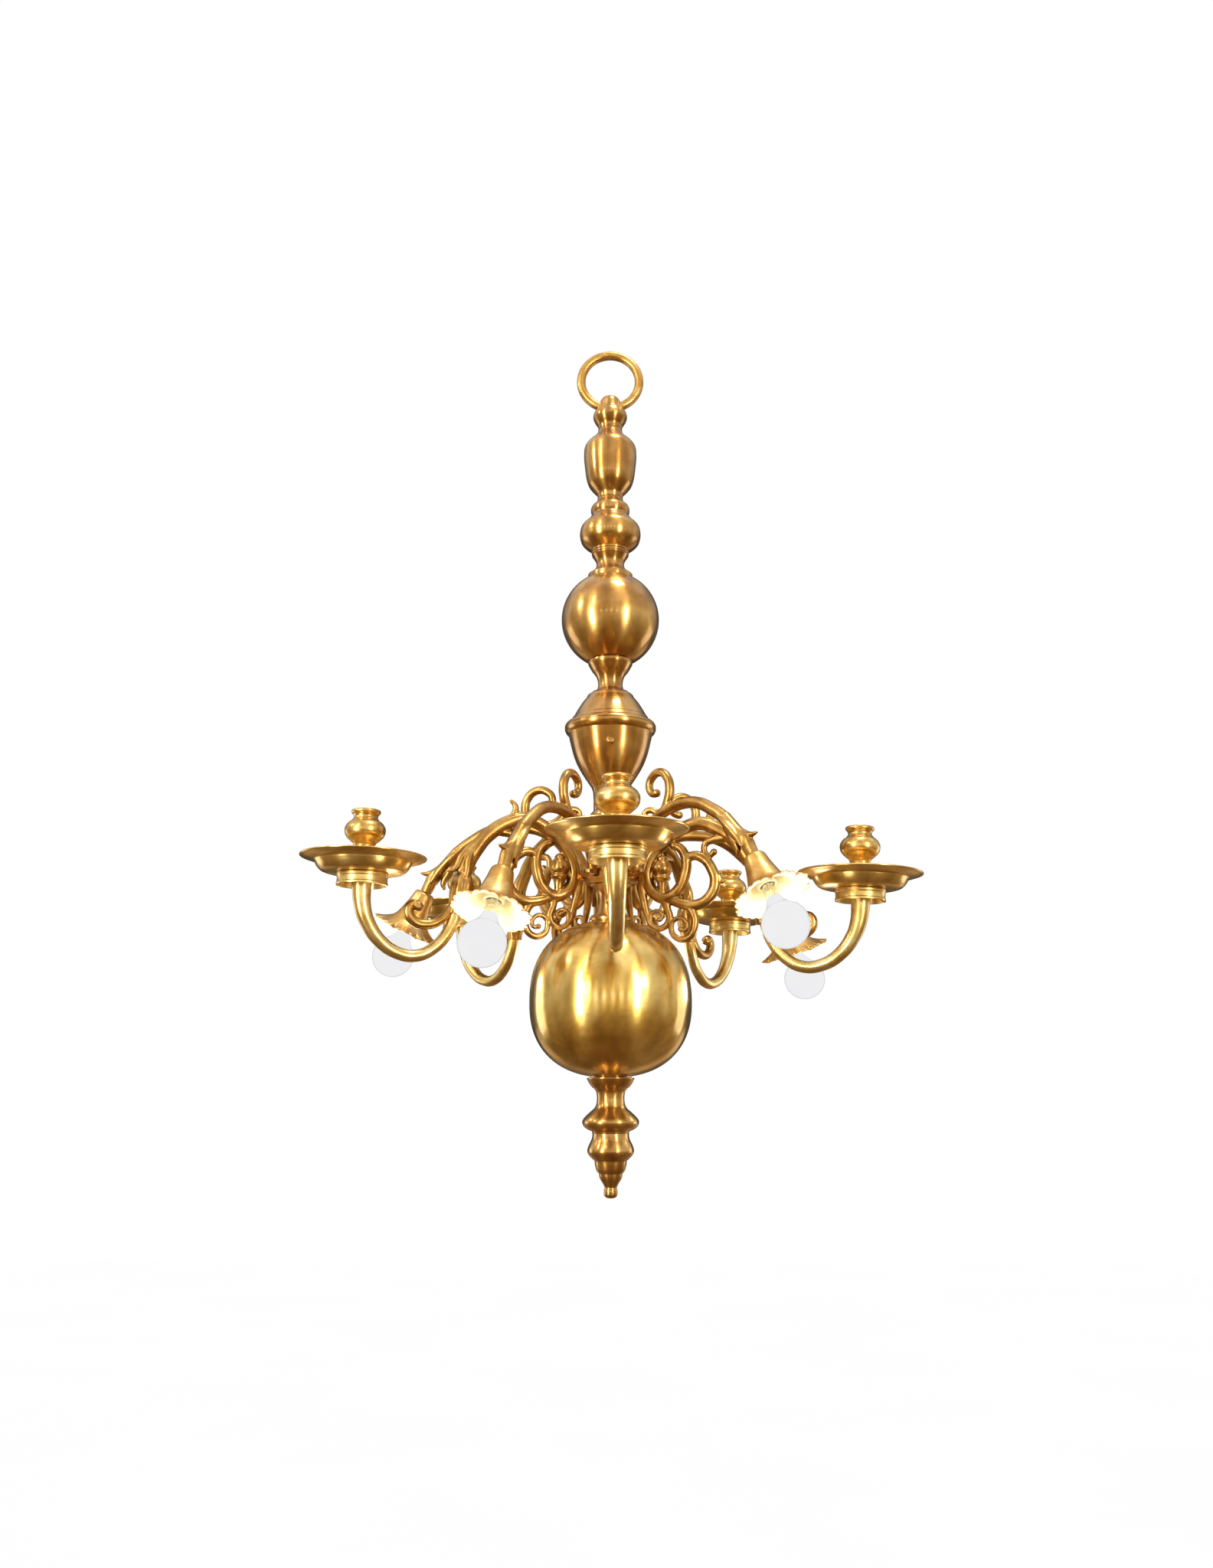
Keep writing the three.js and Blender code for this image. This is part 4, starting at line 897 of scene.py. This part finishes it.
# Full light all round, and dim behind the object, where only the floor half way off is bright
behind = add_node(tree, "ShaderNodeMapRange", {"interpolation_type": "SMOOTHSTEP"}, {
    "Value": apart.outputs["Y"], "From Min": 0.38, "From Max": 0.86, "To Min": 1.0, "To Max": 0.13})
low = add_node(tree, "ShaderNodeMapRange", {"interpolation_type": "SMOOTHSTEP"}, {
    "Value": apart.outputs["Z"], "From Min": -0.22, "From Max": -0.10, "To Min": 1.0, "To Max": 0.0})
near = add_node(tree, "ShaderNodeMapRange", {"interpolation_type": "SMOOTHSTEP"}, {
    "Value": apart.outputs["Y"], "From Min": 0.55, "From Max": 0.80, "To Min": 0.0, "To Max": 1.9})
far = add_node(tree, "ShaderNodeMapRange", {"interpolation_type": "SMOOTHSTEP"}, {
    "Value": apart.outputs["Y"], "From Min": 0.80, "From Max": 0.93, "To Min": 1.0, "To Max": 0.2})
middle = add_node(tree, "ShaderNodeMath", {"operation": "MULTIPLY"}, {
    0: near.outputs["Result"], 1: far.outputs["Result"]})
far_floor = add_node(tree, "ShaderNodeMath", {"operation": "MULTIPLY"}, {
    0: low.outputs["Result"], 1: middle.outputs["Value"]})
edge = add_node(tree, "ShaderNodeMath", {"operation": "MAXIMUM"}, {
    0: behind.outputs["Result"], 1: far_floor.outputs["Value"]})
# Large soft patches of light and dark, as in a furnished room
room = add_node(tree, "ShaderNodeTexNoise", None, {
    "Vector": way, "Scale": 3.2, "Detail": 3.0, "Roughness": 0.6})
patches = add_node(tree, "ShaderNodeMapRange", {"interpolation_type": "SMOOTHSTEP"}, {
    "Value": room.outputs["Fac"], "From Min": 0.36, "From Max": 0.64, "To Min": 0.66, "To Max": 1.5})
level = add_node(tree, "ShaderNodeMath", {"operation": "MULTIPLY"}, {
    0: edge.outputs["Value"], 1: patches.outputs["Result"]})
# A row of ten far windows, low on the camera's side
PANE_BEAT = 31.0
WINDOW_LIGHT = 9.0
sill = add_node(tree, "ShaderNodeMapRange", {"interpolation_type": "SMOOTHSTEP"}, {
    "Value": apart.outputs["Z"], "From Min": 0.0, "From Max": 0.03, "To Min": 0.0, "To Max": 1.0})
lintel = add_node(tree, "ShaderNodeMapRange", {"interpolation_type": "SMOOTHSTEP"}, {
    "Value": apart.outputs["Z"], "From Min": 0.10, "From Max": 0.13, "To Min": 1.0, "To Max": 0.0})
front = add_node(tree, "ShaderNodeMapRange", {"interpolation_type": "SMOOTHSTEP"}, {
    "Value": apart.outputs["Y"], "From Min": -0.82, "From Max": -0.70, "To Min": 1.0, "To Max": 0.0})
across = add_node(tree, "ShaderNodeMath", {"operation": "MULTIPLY"}, {
    0: apart.outputs["X"], 1: PANE_BEAT})
beat = add_node(tree, "ShaderNodeMath", {"operation": "SINE"}, {0: across.outputs["Value"]})
panes = add_node(tree, "ShaderNodeMapRange", {"interpolation_type": "SMOOTHSTEP"}, {
    "Value": beat.outputs["Value"], "From Min": 0.1, "From Max": 0.4,
    "To Min": 0.0, "To Max": WINDOW_LIGHT})
tall = add_node(tree, "ShaderNodeMath", {"operation": "MULTIPLY"}, {
    0: sill.outputs["Result"], 1: lintel.outputs["Result"]})
wide = add_node(tree, "ShaderNodeMath", {"operation": "MULTIPLY"}, {
    0: front.outputs["Result"], 1: panes.outputs["Result"]})
windows = add_node(tree, "ShaderNodeMath", {"operation": "MULTIPLY"}, {
    0: tall.outputs["Value"], 1: wide.outputs["Value"]})
bright = add_node(tree, "ShaderNodeMath", {"operation": "ADD"}, {
    0: level.outputs["Value"], 1: windows.outputs["Value"]})
walls = add_node(tree, "ShaderNodeBackground", None, {
    "Color": sky.outputs["Color"], "Strength": bright.outputs["Value"]})
white = add_node(tree, "ShaderNodeBackground", None, {"Color": (1.0, 1.0, 1.0, 1.0), "Strength": 1.0})
path = add_node(tree, "ShaderNodeLightPath")
either = add_node(tree, "ShaderNodeMixShader", None, {
    0: path.outputs["Is Camera Ray"], 1: walls.outputs["Background"], 2: white.outputs["Background"]})
tree.links.new(either.outputs["Shader"], output.inputs["Surface"])

scene.view_settings.view_transform = "Standard"
scene.view_settings.look = "None"


def softbox(name, place, aim, width, height, power):
    """A soft white studio lamp that hangs at place and faces aim."""
    light = bpy.data.lights.new(name, "AREA")
    light.shape = "RECTANGLE"
    light.size = width
    light.size_y = height
    light.energy = power
    box = bpy.data.objects.new(name, light)
    box.location = place
    box.rotation_euler = (Vector(aim) - Vector(place)).to_track_quat("-Z", "Y").to_euler()
    box.visible_camera = False
    scene.collection.objects.link(box)


softbox("left_strip", (-1.5, -1.6, -0.50), (0, 0, -0.7), 0.34, 1.5, 28)
softbox("right_strip", (1.25, -1.7, -0.40), (0, 0, -0.7), 0.22, 1.1, 16)
softbox("stem_strip", (-1.2, -1.4, 0.75), (0, 0, -0.3), 0.14, 0.8, 4.5)
softbox("left_edge", (-1.9, 1.0, -0.9), (0, 0, -0.75), 0.8, 1.1, 4.5)
softbox("right_edge", (1.9, 1.0, -0.9), (0, 0, -0.75), 0.8, 1.1, 4.5)
softbox("top_light", (0.32, -0.25, 1.2), (0, 0, -0.4), 0.42, 0.42, 11)
softbox("side_light", (-2.0, -0.5, 0.6), (0, 0, -0.4), 0.3, 0.5, 8)
